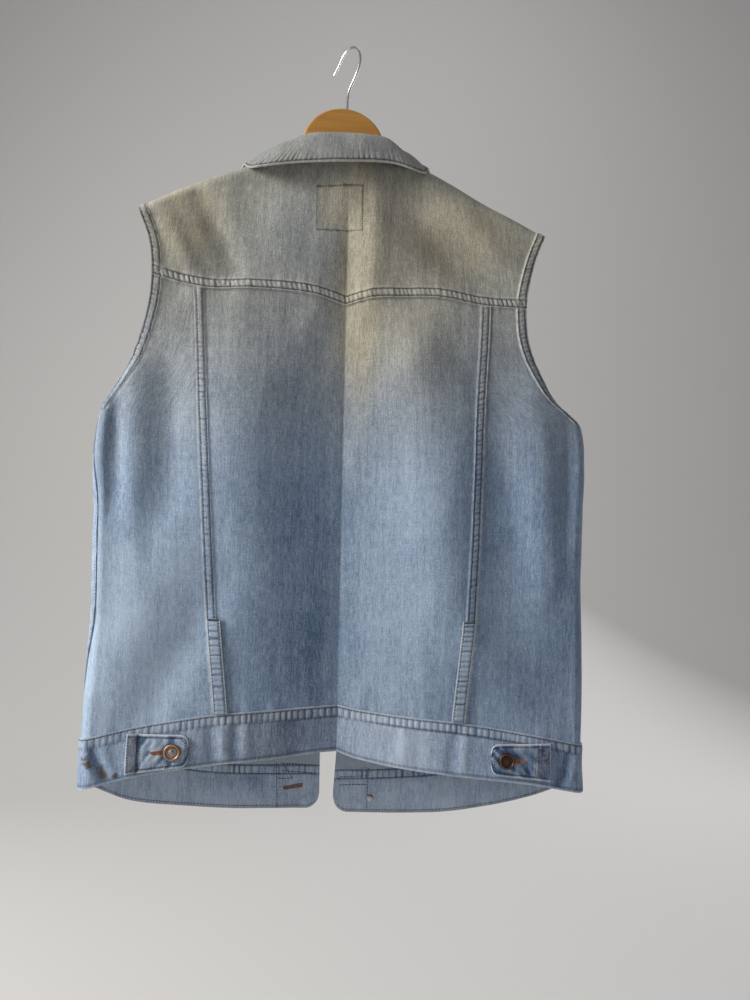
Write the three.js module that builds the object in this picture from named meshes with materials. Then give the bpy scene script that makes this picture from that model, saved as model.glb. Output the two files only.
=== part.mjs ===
// A sleeveless denim jacket hanging on a wooden hanger, in millimetres.
// The origin is the inside of the hook's crown. +Z is up, and -Y is the side of the jacket's back.
// Left and right are those of a viewer who looks at the back, along +Y.
import * as THREE from 'three';

const { clamp, degToRad, lerp } = THREE.MathUtils;

// Cloth and seams
const CLOTH = 1.6; // wall of one ply
const DOUBLE = 2; // wall of the collar, which is two plies and a stiffener
const SEAM_GAP = 0.3; // clearance between two pieces that are sewn together
const FELL = 1.1; // how far a felled seam or a turned hem stands out of the cloth beside it
const FELL_WIDTH = 10.5; // width of a felled seam
const YOKE_FELL = 12; // width of the felled seam along the yoke
const STEP = 0.8; // length over which a felled seam rises
const BAND_LIFT = 1.3; // how far the waistband stands out of the panels
const BAND_WALL = 2.6; // wall of the waistband

// The hanging shape
const NECK_HALF = 72; // half the width of the neck hole at the shoulders
const NECK_BACK = -142; // height of the neck seam at the centre back
const NECK_DROP = 86; // how far the front neck is scooped below the shoulders
const RIDGE_ROUND = 16; // height over which the cloth rounds over the hanger's arms
const ARMPIT = -440; // height of the bottom of the armholes
const SIDE_ROUND = 16; // width over which the cloth rounds at the sides
const FRONT_SCOOP = 14; // how much deeper the front of an armhole is cut than its back
const SEAM_ANGLE_GAP = 0.5; // half the clearance of a side seam, in degrees round the side
const FOLD_END = 0.55; // how much of a soft fold's depth is left at its ends
const SEARCH = { top: -150, yoke: -300, band: -785, hem: -835 }; // heights where the search for a line starts

// Half widths of the outline at each height: armhole, then side.
const OUTLINE = [
  { z: -210, left: 231, right: 230 },
  { z: -250, left: 215, right: 214 },
  { z: -285, left: 210, right: 205 },
  { z: -316, left: 210.5, right: 202.5 },
  { z: -350, left: 216.5, right: 206 },
  { z: -389, left: 229, right: 222 },
  { z: -412, left: 242, right: 238 },
  { z: -430, left: 254, right: 261 },
  { z: -440, left: 260, right: 271 },
  { z: -484, left: 263, right: 274 },
  { z: -534, left: 260, right: 271 },
  { z: -600, left: 258, right: 268.5 },
  { z: -660, left: 256.5, right: 268.5 },
  { z: -700, left: 258, right: 268.5 },
  { z: -742, left: 259.5, right: 267.5 },
  { z: -790, left: 260.5, right: 266.5 },
  { z: -840, left: 260.5, right: 267 },
];
// Height of the shoulder ridge at each distance from the middle.
const RIDGE = [
  { x: 72, left: -134, right: -135 },
  { x: 100, left: -146, right: -148.5 },
  { x: 125, left: -157, right: -161.5 },
  { x: 150, left: -168, right: -175 },
  { x: 185, left: -184, right: -192 },
  { x: 208, left: -196, right: -203.5 },
  { x: 232, left: -210, right: -215 },
];
// Distance of the back and of the fronts from the middle plane.
const DEPTH = [
  { z: -130, back: 15, front: 13 },
  { z: -200, back: 17, front: 14 },
  { z: -300, back: 22, front: 16 },
  { z: -450, back: 26, front: 18 },
  { z: -600, back: 28, front: 19 },
  { z: -740, back: 29, front: 20 },
  { z: -860, back: 30, front: 21 },
];
// The yoke's lower edge, which has a point at the centre back.
const YOKE_SEAM = [
  { x: 0, left: -313, right: -313 },
  { x: 15, left: -309, right: -308 },
  { x: 32, left: -305, right: -304 },
  { x: 60, left: -302, right: -302 },
  { x: 105, left: -302, right: -300 },
  { x: 155, left: -304, right: -306 },
  { x: 208, left: -292, right: -308 },
];
// Half the width of the centre back panel, to the outer edge of its felled seams.
const CENTRE_PANEL = [
  { z: -305, left: 164, right: 162 },
  { z: -430, left: 155, right: 155.5 },
  { z: -535, left: 146.5, right: 151 },
  { z: -655, left: 137, right: 143.5 },
  { z: -755, left: 126, right: 134 },
];
// The waistband's upper edge and the hem, at the back.
const BACK_BAND = [
  { x: 0, left: -743, right: -743, hemLeft: -790, hemRight: -790 },
  { x: 20, left: -744, right: -747, hemLeft: -791, hemRight: -797 },
  { x: 65, left: -747, right: -753, hemLeft: -796, hemRight: -806 },
  { x: 130, left: -752, right: -760, hemLeft: -802, hemRight: -815 },
  { x: 200, left: -763, right: -771, hemLeft: -812, hemRight: -823 },
  { x: 266, left: -778, right: -784, hemLeft: -828, hemRight: -834 },
];
// The same at the front, which hangs lower.
const FRONT_BAND = [
  { x: 0, left: -812, right: -817, hemLeft: -859, hemRight: -863 },
  { x: 100, left: -811, right: -815, hemLeft: -858, hemRight: -865 },
  { x: 150, left: -807, right: -809, hemLeft: -855, hemRight: -861.5 },
  { x: 215, left: -795, right: -798, hemLeft: -848, hemRight: -850 },
  { x: 266, left: -778, right: -784, hemLeft: -828, hemRight: -834 },
];
// Distance of each front's edge from the middle.
const FRONT_EDGE = [
  { z: -200, left: 24, right: 23 },
  { z: -400, left: 21, right: 18 },
  { z: -650, left: 17, right: 11 },
  { z: -840, left: 15, right: 0 },
];
// Where the side seam lies round the side, in degrees: 90 is at the very edge, less is on the back.
const SIDE_SEAM = [
  { z: -440, left: 90, right: 90 },
  { z: -480, left: 64, right: 90 },
  { z: -525, left: 34, right: 90 },
  { z: -600, left: 26, right: 90 },
  { z: -660, left: 30, right: 90 },
  { z: -705, left: 56, right: 90 },
  { z: -745, left: 90, right: 90 },
];
// The pressed crease down the centre back, which folds inwards.
const CREASE = { depth: 9, half: 95, power: 1.4, from: -160, full: -270 };
// Soft folds: a line from one end to the other, its half width, and how far it stands out (or in, below 0).
const BACK_FOLDS = [
  { x1: -20, z1: -142, x2: 20, z2: -142, width: 46, depth: 9 },
  { x1: -240, z1: -425, x2: -236, z2: -545, width: 10, depth: -5 },
  { x1: -220, z1: -405, x2: -212, z2: -610, width: 15, depth: 3.5 },
  { x1: -188, z1: -390, x2: -178, z2: -540, width: 14, depth: -4.5 },
  { x1: -160, z1: -550, x2: -240, z2: -745, width: 26, depth: 4 },
  { x1: -118, z1: -610, x2: -205, z2: -765, width: 20, depth: -3.5 },
  { x1: -72, z1: -320, x2: -58, z2: -720, width: 42, depth: 4 },
  { x1: 84, z1: -320, x2: 98, z2: -660, width: 32, depth: 6 },
  { x1: 150, z1: -380, x2: 168, z2: -650, width: 26, depth: -6 },
  { x1: 214, z1: -400, x2: 222, z2: -620, width: 22, depth: 6 },
  { x1: 250, z1: -440, x2: 244, z2: -570, width: 10, depth: -3.5 },
  { x1: -170, z1: -180, x2: -122, z2: -280, width: 14, depth: -4 },
  { x1: -202, z1: -215, x2: -158, z2: -300, width: 12, depth: 3 },
  { x1: 78, z1: -172, x2: 170, z2: -300, width: 20, depth: -4.5 },
  { x1: 112, z1: -165, x2: 202, z2: -280, width: 15, depth: 3.5 },
  { x1: 120, z1: -640, x2: 210, z2: -770, width: 24, depth: 3.5 },
];
const FRONT_FOLDS = [
  { x1: -150, z1: -230, x2: -95, z2: -400, width: 26, depth: -4 },
  { x1: -120, z1: -420, x2: -95, z2: -780, width: 32, depth: 4.5 },
  { x1: -215, z1: -430, x2: -190, z2: -640, width: 22, depth: -4 },
  { x1: 140, z1: -230, x2: 90, z2: -420, width: 28, depth: -4 },
  { x1: 110, z1: -450, x2: 130, z2: -790, width: 34, depth: 5 },
  { x1: 205, z1: -430, x2: 190, z2: -600, width: 20, depth: -4.5 },
  { x1: -35, z1: -600, x2: -50, z2: -850, width: 30, depth: 3 },
  { x1: 48, z1: -560, x2: 38, z2: -820, width: 26, depth: -3 },
];

// Reads a column of a table on a smooth curve through its rows, and holds the end values outside them.
function read(rows, key, column, at) {
  const rising = rows[1][key] > rows[0][key] ? 1 : -1;
  let i = 0;
  while (i < rows.length - 2 && rising * at > rising * rows[i + 1][key]) i++;
  const slopeAt = (n) => {
    const before = rows[Math.max(n - 1, 0)];
    const after = rows[Math.min(n + 1, rows.length - 1)];
    return (after[column] - before[column]) / (after[key] - before[key]);
  };
  const [a, b] = [rows[i], rows[i + 1]];
  const span = b[key] - a[key];
  const t = clamp((at - a[key]) / span, 0, 1);
  const [t2, t3] = [t * t, t * t * t];
  return (
    (2 * t3 - 3 * t2 + 1) * a[column] +
    (t3 - 2 * t2 + t) * span * slopeAt(i) +
    (3 * t2 - 2 * t3) * b[column] +
    (t3 - t2) * span * slopeAt(i + 1)
  );
}

const sideOf = (s) => (s < 0 ? 'left' : 'right');
const hemOf = (s) => (s < 0 ? 'hemLeft' : 'hemRight');
const between = (from, to, at) => THREE.MathUtils.smoothstep(at, Math.min(from, to), Math.max(from, to));

// How far soft folds move the cloth out at a place: a rounded line that dies away at both ends.
function foldsAt(folds, x, z) {
  let sum = 0;
  for (const f of folds) {
    const [dx, dz] = [f.x2 - f.x1, f.z2 - f.z1];
    const along = ((x - f.x1) * dx + (z - f.z1) * dz) / (dx * dx + dz * dz);
    const t = clamp(along, 0, 1);
    const off = Math.hypot(x - f.x1 - t * dx, z - f.z1 - t * dz) / f.width;
    const swell = lerp(FOLD_END, 1, Math.sin(Math.PI * t));
    sum += f.depth * swell * Math.exp(-off * off);
  }
  return sum;
}

// Lines of the cut

const edgeX = (s, z) => read(OUTLINE, 'z', sideOf(s), z);

function frontEdgeX(s, z) {
  const down = clamp((OUTLINE[0].z - z) / (OUTLINE[0].z - ARMPIT), 0, 1);
  return edgeX(s, z) - FRONT_SCOOP * Math.sin(Math.PI * down);
}

function centrePanelX(s, z) {
  const [top] = CENTRE_PANEL;
  const panel = read(CENTRE_PANEL, 'z', sideOf(s), z);
  return z > top.z ? (panel * edgeX(s, z)) / edgeX(s, top.z) : panel;
}

const ridgeZ = (s, x) => read(RIDGE, 'x', sideOf(s), x);

// Top of the back: the neck seam, then the shoulder ridge.
function backTop(s, x) {
  if (x >= NECK_HALF) return ridgeZ(s, x);
  return lerp(NECK_BACK, ridgeZ(s, NECK_HALF), (x / NECK_HALF) ** 2);
}

// Top of a front: the scooped neck, then the shoulder ridge.
function frontTop(s, x) {
  if (x >= NECK_HALF) return ridgeZ(s, x);
  const edge = read(FRONT_EDGE, 'z', sideOf(s), ridgeZ(s, NECK_HALF) - NECK_DROP);
  const across = clamp((x - edge) / (NECK_HALF - edge), 0, 1);
  return ridgeZ(s, NECK_HALF) - NECK_DROP * Math.sqrt(1 - across * across);
}

const yokeSeamZ = (s, x) => read(YOKE_SEAM, 'x', sideOf(s), x);
const seamAngle = (s, z) => read(SIDE_SEAM, 'z', sideOf(s), z) - SEAM_ANGLE_GAP;

// How far an armhole's edge has closed towards the side seam: 0 at the yoke, 1 at the armpit.
const closing = (s, z) => {
  const from = yokeSeamZ(s, NECK_HALF * 3);
  return clamp((from - z) / (from - ARMPIT), 0, 1);
};

// Half the clearance of the shoulder seam, which runs along the ridge and dies away at the armpit.
const shoulderGap = (s, z) => SEAM_GAP * (1 - closing(s, z));

// The two surfaces. A place on the back is (u, z): u runs from -1 at the left edge to 1 at the right edge.
const U_PANEL = 0.5; // u of the seam between the centre back panel and a side panel
const U_ROUND = 0.8; // u where the cloth starts to round to the side

function backX(u, z) {
  const [s, a] = [u < 0 ? -1 : 1, Math.abs(u)];
  const [panel, edge] = [centrePanelX(s, z), edgeX(s, z)];
  if (a <= U_PANEL) return (a / U_PANEL) * panel;
  const flat = edge - SIDE_ROUND;
  if (a <= U_ROUND) return lerp(panel, flat, (a - U_PANEL) / (U_ROUND - U_PANEL));
  const turn = ((a - U_ROUND) / (1 - U_ROUND)) * seamAngle(s, z);
  return flat + SIDE_ROUND * Math.sin(degToRad(turn));
}

function backDepth(x, z) {
  const creased = CREASE.depth * Math.max(0, 1 - Math.abs(x) / CREASE.half) ** CREASE.power;
  const pressed = 1 - between(CREASE.full, CREASE.from, z);
  return read(DEPTH, 'z', 'back', z) - creased * pressed + foldsAt(BACK_FOLDS, x, z);
}

// Rounding over the shoulder: 0 at the ridge, 1 where the cloth hangs.
function overRidge(top, z, share) {
  const up = clamp((z - top + RIDGE_ROUND) / RIDGE_ROUND, 0, 1) * share;
  return Math.sqrt(1 - up * up);
}

function backPoint(u, z) {
  const s = u < 0 ? -1 : 1;
  const x = backX(u, z);
  const turn = clamp((Math.abs(u) - U_ROUND) / (1 - U_ROUND), 0, 1) * seamAngle(s, z);
  const shut = Math.sin(degToRad(turn)) * closing(s, z);
  const round = overRidge(backTop(s, x), z, Math.min(1, x / NECK_HALF));
  const depth = backDepth(s * x, z) * Math.sqrt(1 - shut * shut) * round;
  return new THREE.Vector3(s * x, -depth - shoulderGap(s, z), z);
}

// A place on a front is (a, z): a runs from 0 at the front edge to 1 at the armhole or the side seam.
const A_ROUND = 0.7;
const RIDGE_SPAN = 30; // length over which the slope of the ridge beside the neck is taken

function frontX(s, a, z) {
  const [inner, edge] = [read(FRONT_EDGE, 'z', sideOf(s), z), frontEdgeX(s, z)];
  const flat = edge - SIDE_ROUND;
  if (a <= A_ROUND) return lerp(inner, flat, a / A_ROUND);
  const turn = ((a - A_ROUND) / (1 - A_ROUND)) * (180 - seamAngle(s, z) - 2 * SEAM_ANGLE_GAP);
  return flat + SIDE_ROUND * Math.sin(degToRad(turn));
}

const frontDepth = (x, z) => read(DEPTH, 'z', 'front', z) + foldsAt(FRONT_FOLDS, x, z);

function frontPoint(s, a, z) {
  const x = frontX(s, a, z);
  const turn = clamp((a - A_ROUND) / (1 - A_ROUND), 0, 1) * (180 - seamAngle(s, z) - 2 * SEAM_ANGLE_GAP);
  if (turn > 90) return new THREE.Vector3(s * x, backDepth(s * x, z) * Math.cos(degToRad(turn)), z);
  const shut = Math.sin(degToRad(turn)) * closing(s, z);
  const slope = (ridgeZ(s, NECK_HALF) - ridgeZ(s, NECK_HALF + RIDGE_SPAN)) / RIDGE_SPAN;
  const ridge = x >= NECK_HALF ? ridgeZ(s, x) : ridgeZ(s, NECK_HALF) + slope * (NECK_HALF - x);
  const depth = frontDepth(s * x, z) * Math.sqrt(1 - shut * shut) * overRidge(ridge, z, 1);
  return new THREE.Vector3(s * x, depth + shoulderGap(s, z), z);
}

// Height at which a column of the cloth meets a line of the cut.
function meet(xAt, line, start) {
  let z = start;
  for (let i = 0; i < 12; i++) z = line(xAt(z));
  return z;
}
const backMeets = (u, line, start) => meet((z) => backX(u, z), (x) => line(u < 0 ? -1 : 1, x), start);
const frontMeets = (s, a, line, start) => meet((z) => frontX(s, a, z), (x) => line(s, x), start);
const backBandZ = (s, x) => read(BACK_BAND, 'x', sideOf(s), x);
const backHemZ = (s, x) => read(BACK_BAND, 'x', hemOf(s), x);
const frontBandZ = (s, x) => read(FRONT_BAND, 'x', sideOf(s), x);
const frontHemZ = (s, x) => read(FRONT_BAND, 'x', hemOf(s), x);

// Solids

const SLOPE_STEP = 0.002; // share of a surface over which its slope is taken

// Direction out of a surface at (u, v). turn is 1 where u, v and out are right-handed, and -1 otherwise.
function outward(point, u, v, [u0, u1], [v0, v1], turn) {
  const du = (u1 - u0) * SLOPE_STEP;
  const dv = (v1 - v0) * SLOPE_STEP;
  const alongU = point(Math.min(u + du, u1), v).sub(point(Math.max(u - du, u0), v));
  const alongV = point(u, Math.min(v + dv, v1)).sub(point(u, Math.max(v - dv, v0)));
  return alongU.cross(alongV).normalize().multiplyScalar(turn);
}

// A closed wall on a surface: its outer face is lifted off the surface, its inner face lies sunk behind it.
function wall(point, us, vs, { turn = 1, lift = () => 0, sink = CLOTH, limits } = {}) {
  const [nu, nv] = [us.length, vs.length];
  const across = limits ?? [us[0], us[nu - 1]];
  const positions = [];
  const place = (side) => {
    for (const v of vs) {
      for (const u of us) {
        const out = outward(point, u, v, across, [vs[0], vs[nv - 1]], turn);
        const by = side === 'outer' ? lift(u, v) : -sink;
        positions.push(...point(u, v).addScaledVector(out, by).toArray());
      }
    }
  };
  place('outer');
  place('inner');
  const inner = nu * nv;
  const faces = [];
  const quad = (a, b, c, d) => faces.push(...(turn > 0 ? [a, b, c, a, c, d] : [a, c, b, a, d, c]));
  for (let j = 0; j < nv - 1; j++) {
    for (let i = 0; i < nu - 1; i++) {
      const a = j * nu + i;
      quad(a, a + 1, a + nu + 1, a + nu);
      quad(inner + a, inner + a + nu, inner + a + nu + 1, inner + a + 1);
    }
  }
  for (let i = 0; i < nu - 1; i++) {
    const last = (nv - 1) * nu + i;
    quad(i + 1, i, inner + i, inner + i + 1);
    quad(last, last + 1, inner + last + 1, inner + last);
  }
  for (let j = 0; j < nv - 1; j++) {
    const [a, b] = [j * nu, j * nu + nu - 1];
    quad(a, a + nu, inner + a + nu, inner + a);
    quad(b + nu, b, inner + b, inner + b + nu);
  }
  const geometry = new THREE.BufferGeometry();
  geometry.setAttribute('position', new THREE.Float32BufferAttribute(positions, 3));
  geometry.setIndex(faces);
  geometry.computeVertexNormals();
  return geometry;
}

const steps = (from, to, count) => Array.from({ length: count + 1 }, (_, i) => lerp(from, to, i / count));
const mirrored = (list) => [...list.map((a) => -a).reverse(), ...list.slice(1)];

// Materials
const denim = new THREE.MeshStandardMaterial({ color: '#8496a6', roughness: 0.92, metalness: 0 });
const bandDenim = new THREE.MeshStandardMaterial({ color: '#8093a8', roughness: 0.92, metalness: 0 });
const tabDenim = new THREE.MeshStandardMaterial({ color: '#5b7593', roughness: 0.92, metalness: 0 });
const copper = new THREE.MeshStandardMaterial({ color: '#8a6a55', roughness: 0.4, metalness: 1 });
const zinc = new THREE.MeshStandardMaterial({ color: '#b9b7b0', roughness: 0.35, metalness: 1 });
const wood = new THREE.MeshStandardMaterial({ color: '#b98a3a', roughness: 0.55, metalness: 0 });
const steel = new THREE.MeshStandardMaterial({ color: '#c4c2bd', roughness: 0.2, metalness: 1 });

const garment = new THREE.Group();
const hanger = new THREE.Group();

function add(group, name, geometry, material) {
  const mesh = new THREE.Mesh(geometry, material);
  mesh.name = name;
  group.add(mesh);
  return mesh;
}

// Columns of the back. The same ones are used above and below each seam, so that the edges match.
const EDGE_STEPS = [0.2, 0.22, 0.4, 0.6, 0.8, 1];
const HEM_START = 0.21; // where the turned hem of an armhole begins, as a share of the side's rounding
const sideColumns = [...steps(U_PANEL, U_ROUND, 5), ...EDGE_STEPS.map((c) => lerp(U_ROUND, 1, c))];
const fellColumn = U_PANEL * (1 - FELL_WIDTH / CENTRE_PANEL[0].left);
const fellStep = U_PANEL * (1 - (FELL_WIDTH + STEP) / CENTRE_PANEL[0].left);
const nearCrease = 0.12; // u within which the columns are closer, for the crease
const creaseColumns = steps(0, nearCrease, 2);
const centreColumns = [...creaseColumns, ...steps(nearCrease, fellStep, 4).slice(1), fellColumn, U_PANEL];

// An armhole's turned hem, on any piece that the armhole cuts.
const armholeLift = (share, z) => (share > HEM_START ? FELL * clamp((z - ARMPIT) / 6, 0, 1) : 0);

// The yoke: from the neck and the shoulder ridge down to the felled seam. v is 0 to 1 over the rounding,
// 1 to 2 over the hanging part and 2 to 3 over the felled seam.
function yoke() {
  const tops = (u) => backMeets(u, backTop, SEARCH.top);
  const point = (u, v) => {
    const top = tops(u);
    const seam = backMeets(u, yokeSeamZ, SEARCH.yoke) + SEAM_GAP / 2;
    const hang = top - RIDGE_ROUND;
    if (v <= 1) return backPoint(u, top - RIDGE_ROUND * (1 - Math.cos((v * Math.PI) / 2)));
    if (v <= 2) return backPoint(u, lerp(hang, seam + YOKE_FELL, v - 1));
    return backPoint(u, lerp(seam + YOKE_FELL, seam, v - 2));
  };
  const raised = (u, v) => {
    const hem = armholeLift((Math.abs(u) - U_ROUND) / (1 - U_ROUND), 0);
    return Math.max(hem, v > 2 ? FELL : 0);
  };
  const rows = [0, 0.35, 0.68, 1, ...steps(1, 2, 5).slice(1), 2 + STEP / YOKE_FELL, 3];
  const columns = mirrored([...centreColumns, ...sideColumns.slice(1)]);
  return wall(point, columns, rows, { turn: -1, lift: raised });
}
add(garment, 'back_yoke', yoke(), denim);

// Rows of the side seam, shared by the back and the fronts, then rows of the armhole above them.
const SEAM_FOOT = -778; // height where the side seams meet the waistband
const seamRows = steps(ARMPIT, SEAM_FOOT, 13).slice(0, -1);
const armholeRows = [-340, -375, -403, -424];

// A back panel between two columns: v is 0 at the yoke and 1 at the waistband.
function backPanel(columns, nudge, lift) {
  const s = columns[columns.length - 1] < 0 ? -1 : 1;
  const [top, bottom] = [backMeets(s, yokeSeamZ, SEARCH.yoke), backMeets(s, backBandZ, SEARCH.band)];
  const rows = [0, ...[...armholeRows, ...seamRows].map((z) => (z - top) / (bottom - top)), 1];
  const point = (u, v) => {
    const from = backMeets(u, yokeSeamZ, SEARCH.yoke) - SEAM_GAP / 2;
    const to = backMeets(u, backBandZ, SEARCH.band) + SEAM_GAP / 2;
    const at = backPoint(u, lerp(from, to, v));
    at.x += nudge(u);
    return at;
  };
  const raised = (u, v) => lift(u, point(u, v).z);
  return wall(point, columns, rows, { turn: -1, lift: raised, limits: [-1, 1] });
}
const centreFell = (u) => (Math.abs(u) >= fellColumn ? FELL : 0);
const pulledIn = (u) => (Math.abs(u) === U_PANEL ? (-Math.sign(u) * SEAM_GAP) / 2 : 0);
add(garment, 'back_centre_panel', backPanel(mirrored(centreColumns), pulledIn, centreFell), denim);
for (const s of [-1, 1]) {
  const columns = s < 0 ? sideColumns.map((u) => -u).reverse() : sideColumns;
  const pulledOut = (u) => (Math.abs(u) === U_PANEL ? (s * SEAM_GAP) / 2 : 0);
  const hem = (u, z) => armholeLift((Math.abs(u) - U_ROUND) / (1 - U_ROUND), z);
  add(garment, 'back_side_panel_' + sideOf(s), backPanel(columns, pulledOut, hem), denim);
}

// The stitched-down vents over the lower ends of the back's long seams.
const VENT = { width: 14, inset: 7.6, top: -655, bottom: -755, above: 1.5, thick: 1.3 };
for (const s of [-1, 1]) {
  const point = (across, v) => {
    const z = lerp(VENT.top, backBandZ(s, centrePanelX(s, VENT.bottom)) + 1.2, v);
    const panel = centrePanelX(s, z);
    const x = panel - VENT.inset + across;
    const flat = edgeX(s, z) - SIDE_ROUND;
    const u = x < panel ? (x / panel) * U_PANEL : lerp(U_PANEL, U_ROUND, (x - panel) / (flat - panel));
    return backPoint(s * u, z);
  };
  const across = steps(-VENT.width / 2, VENT.width / 2, 3);
  const lift = () => VENT.above + VENT.thick;
  const vent = wall(point, across, steps(0, 1, 4), { turn: -s, lift, sink: -VENT.above });
  add(garment, 'back_vent_' + sideOf(s), vent, denim);
}

// The waistband at the back.
function backBandPoint(u, v) {
  const from = backMeets(u, backBandZ, SEARCH.band) - SEAM_GAP / 2;
  return backPoint(u, lerp(from, backMeets(u, backHemZ, SEARCH.hem), v));
}
const bandColumns = mirrored([...centreColumns.slice(0, -2), U_PANEL, ...sideColumns.slice(1)]);
const bandWall = { lift: () => BAND_LIFT, sink: BAND_WALL - BAND_LIFT };
const backBand = wall(backBandPoint, bandColumns, steps(0, 1, 3), { turn: -1, ...bandWall });
add(garment, 'waistband_back', backBand, bandDenim);

// The fronts, their plackets and their waistband.
const ridgeOffsets = [0, 0.35, 0.68, 1].map((v) => RIDGE_ROUND * (1 - Math.cos((v * Math.PI) / 2)));
const frontArmholeRows = [-252, -296, ...armholeRows];
const CORNER = 16; // radius of the fronts' lower corners
const cornerOffsets = [0, 1.5, 4, 8]; // distances from a front's edge, for the columns round its corner
const FRONT_REACH = 340; // width that one whole a stands for, over the flat part of a front
const PLACKET = { width: 38, above: 0.8, thick: 1.5, below: 4, top: -230, rise: 0.55 };

// Columns of a front, from its edge, past the neck's corner, to its armhole and side seam.
function frontColumns(s) {
  const inner = read(FRONT_EDGE, 'z', sideOf(s), SEARCH.top);
  const neckA = (A_ROUND * (NECK_HALF - inner)) / (edgeX(s, SEARCH.top) - SIDE_ROUND - inner);
  return [
    ...[0, 0.2, 0.45, 0.68, 0.85, 0.95, 0.99].map((share) => share * neckA),
    ...steps(neckA, A_ROUND, 5),
    ...EDGE_STEPS.map((c) => lerp(A_ROUND, 1, c)),
  ];
}

function frontPanel(s) {
  const tip = frontMeets(s, 1, frontTop, SEARCH.top) - RIDGE_ROUND;
  const side = frontMeets(s, 1, frontBandZ, SEARCH.band);
  const rows = [...[...frontArmholeRows, ...seamRows].map((z) => 1 + (z - tip) / (side - tip)), 2];
  const point = (a, v) => {
    const top = frontMeets(s, a, frontTop, SEARCH.top);
    const bottom = frontMeets(s, a, frontBandZ, SEARCH.band) + SEAM_GAP / 2;
    if (v <= 1) return frontPoint(s, a, top - RIDGE_ROUND * (1 - Math.cos((v * Math.PI) / 2)));
    return frontPoint(s, a, lerp(top - RIDGE_ROUND, bottom, v - 1));
  };
  const lift = (a, v) => {
    const share = (a - A_ROUND) / (1 - A_ROUND);
    const z = v <= 1 ? 0 : point(a, v).z;
    return z > ARMPIT ? armholeLift(share, z) : share > 0.5 ? FELL : 0;
  };
  return wall(point, frontColumns(s), [0, 0.35, 0.68, 1, ...rows], { turn: s, lift });
}

function placket(s) {
  const point = (d, v) => {
    const inner = read(FRONT_EDGE, 'z', sideOf(s), PLACKET.top);
    const highest = ridgeZ(s, NECK_HALF) - NECK_DROP * PLACKET.rise;
    const top = Math.min(frontTop(s, inner + d), highest) - PLACKET.below;
    const z = lerp(top, frontBandZ(s, d + inner) + SEAM_GAP, v);
    const x = read(FRONT_EDGE, 'z', sideOf(s), z) + d;
    return new THREE.Vector3(s * x, frontDepth(s * x, z), z);
  };
  const lift = () => PLACKET.above + PLACKET.thick;
  const across = [0.5, PLACKET.width / 3, (2 * PLACKET.width) / 3, PLACKET.width];
  return wall(point, across, steps(0, 1, 18), { turn: s, lift, sink: -PLACKET.above });
}

function frontBand(s) {
  const [, ...rest] = frontColumns(s);
  const columns = [...cornerOffsets.map((d) => d / FRONT_REACH), ...rest];
  const point = (a, v) => {
    const x = frontX(s, a, SEARCH.hem) - frontX(s, 0, SEARCH.hem);
    const rise = x < CORNER ? CORNER - Math.sqrt(CORNER ** 2 - (CORNER - x) ** 2) : 0;
    const from = frontMeets(s, a, frontBandZ, SEARCH.band) - SEAM_GAP / 2;
    return frontPoint(s, a, lerp(from, frontMeets(s, a, frontHemZ, SEARCH.hem) + rise, v));
  };
  return wall(point, columns, steps(0, 1, 3), { turn: s, ...bandWall });
}

for (const s of [-1, 1]) {
  add(garment, 'front_' + sideOf(s), frontPanel(s), denim);
  add(garment, 'front_placket_' + sideOf(s), placket(s), denim);
  add(garment, 'waistband_front_' + sideOf(s), frontBand(s), bandDenim);
}

// The collar: where it folds over, how far it rolls there, and its free edge. u is -1 to 1 over the back
// of the neck, and from there to -2 and 2 down the fronts.
const COLLAR = [
  { u: -2, foldX: -22, foldY: 19, foldZ: -203, roll: 8, x: -52, y: 27, z: -262 },
  { u: -1.6, foldX: -40, foldY: 20, foldZ: -188, roll: 8, x: -94, y: 27, z: -240 },
  { u: -1.25, foldX: -51, foldY: 16, foldZ: -156, roll: 8, x: -118, y: 22, z: -194 },
  { u: -1.12, foldX: -60, foldY: 13, foldZ: -140, roll: 10.5, x: -122, y: 14, z: -171 },
  { u: -1, foldX: -65, foldY: 1.5, foldZ: -124, roll: 7, x: -121, y: 2, z: -151.5 },
  { u: -0.7, foldX: -57, foldY: -7, foldZ: -120, roll: 7, x: -106, y: -31, z: -168 },
  { u: -0.35, foldX: -37, foldY: -15, foldZ: -117, roll: 9, x: -62, y: -37, z: -163 },
  { u: 0, foldX: -3, foldY: -18, foldZ: -117, roll: 10, x: -4, y: -39, z: -158 },
  { u: 0.35, foldX: 36, foldY: -16, foldZ: -117, roll: 9, x: 45, y: -37, z: -155 },
  { u: 0.7, foldX: 53, foldY: -8, foldZ: -122, roll: 7, x: 80, y: -31, z: -160 },
  { u: 1, foldX: 65, foldY: 1.5, foldZ: -127, roll: 7.5, x: 95, y: 2, z: -146 },
  { u: 1.12, foldX: 60, foldY: 13, foldZ: -143, roll: 10.5, x: 102, y: 14, z: -164 },
  { u: 1.25, foldX: 51, foldY: 16, foldZ: -158, roll: 8, x: 106, y: 21, z: -184 },
  { u: 1.6, foldX: 40, foldY: 20, foldZ: -190, roll: 8, x: 90, y: 27, z: -238 },
  { u: 2, foldX: 22, foldY: 19, foldZ: -204, roll: 8, x: 52, y: 27, z: -264 },
];
const ROLL = { lean: 0.1, along: 0.35, crown: 0.5 }; // how the fall's curve rolls over, as shares of its roll
const COLLAR_CLEAR = 1.6; // clearance of the collar's foot above the neck seam
const FOLD_GAP = 3; // clearance between the top of the stand and the fall
const FALL_CLEAR = 3.2; // how far the middle of the fall keeps off the shoulders

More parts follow.
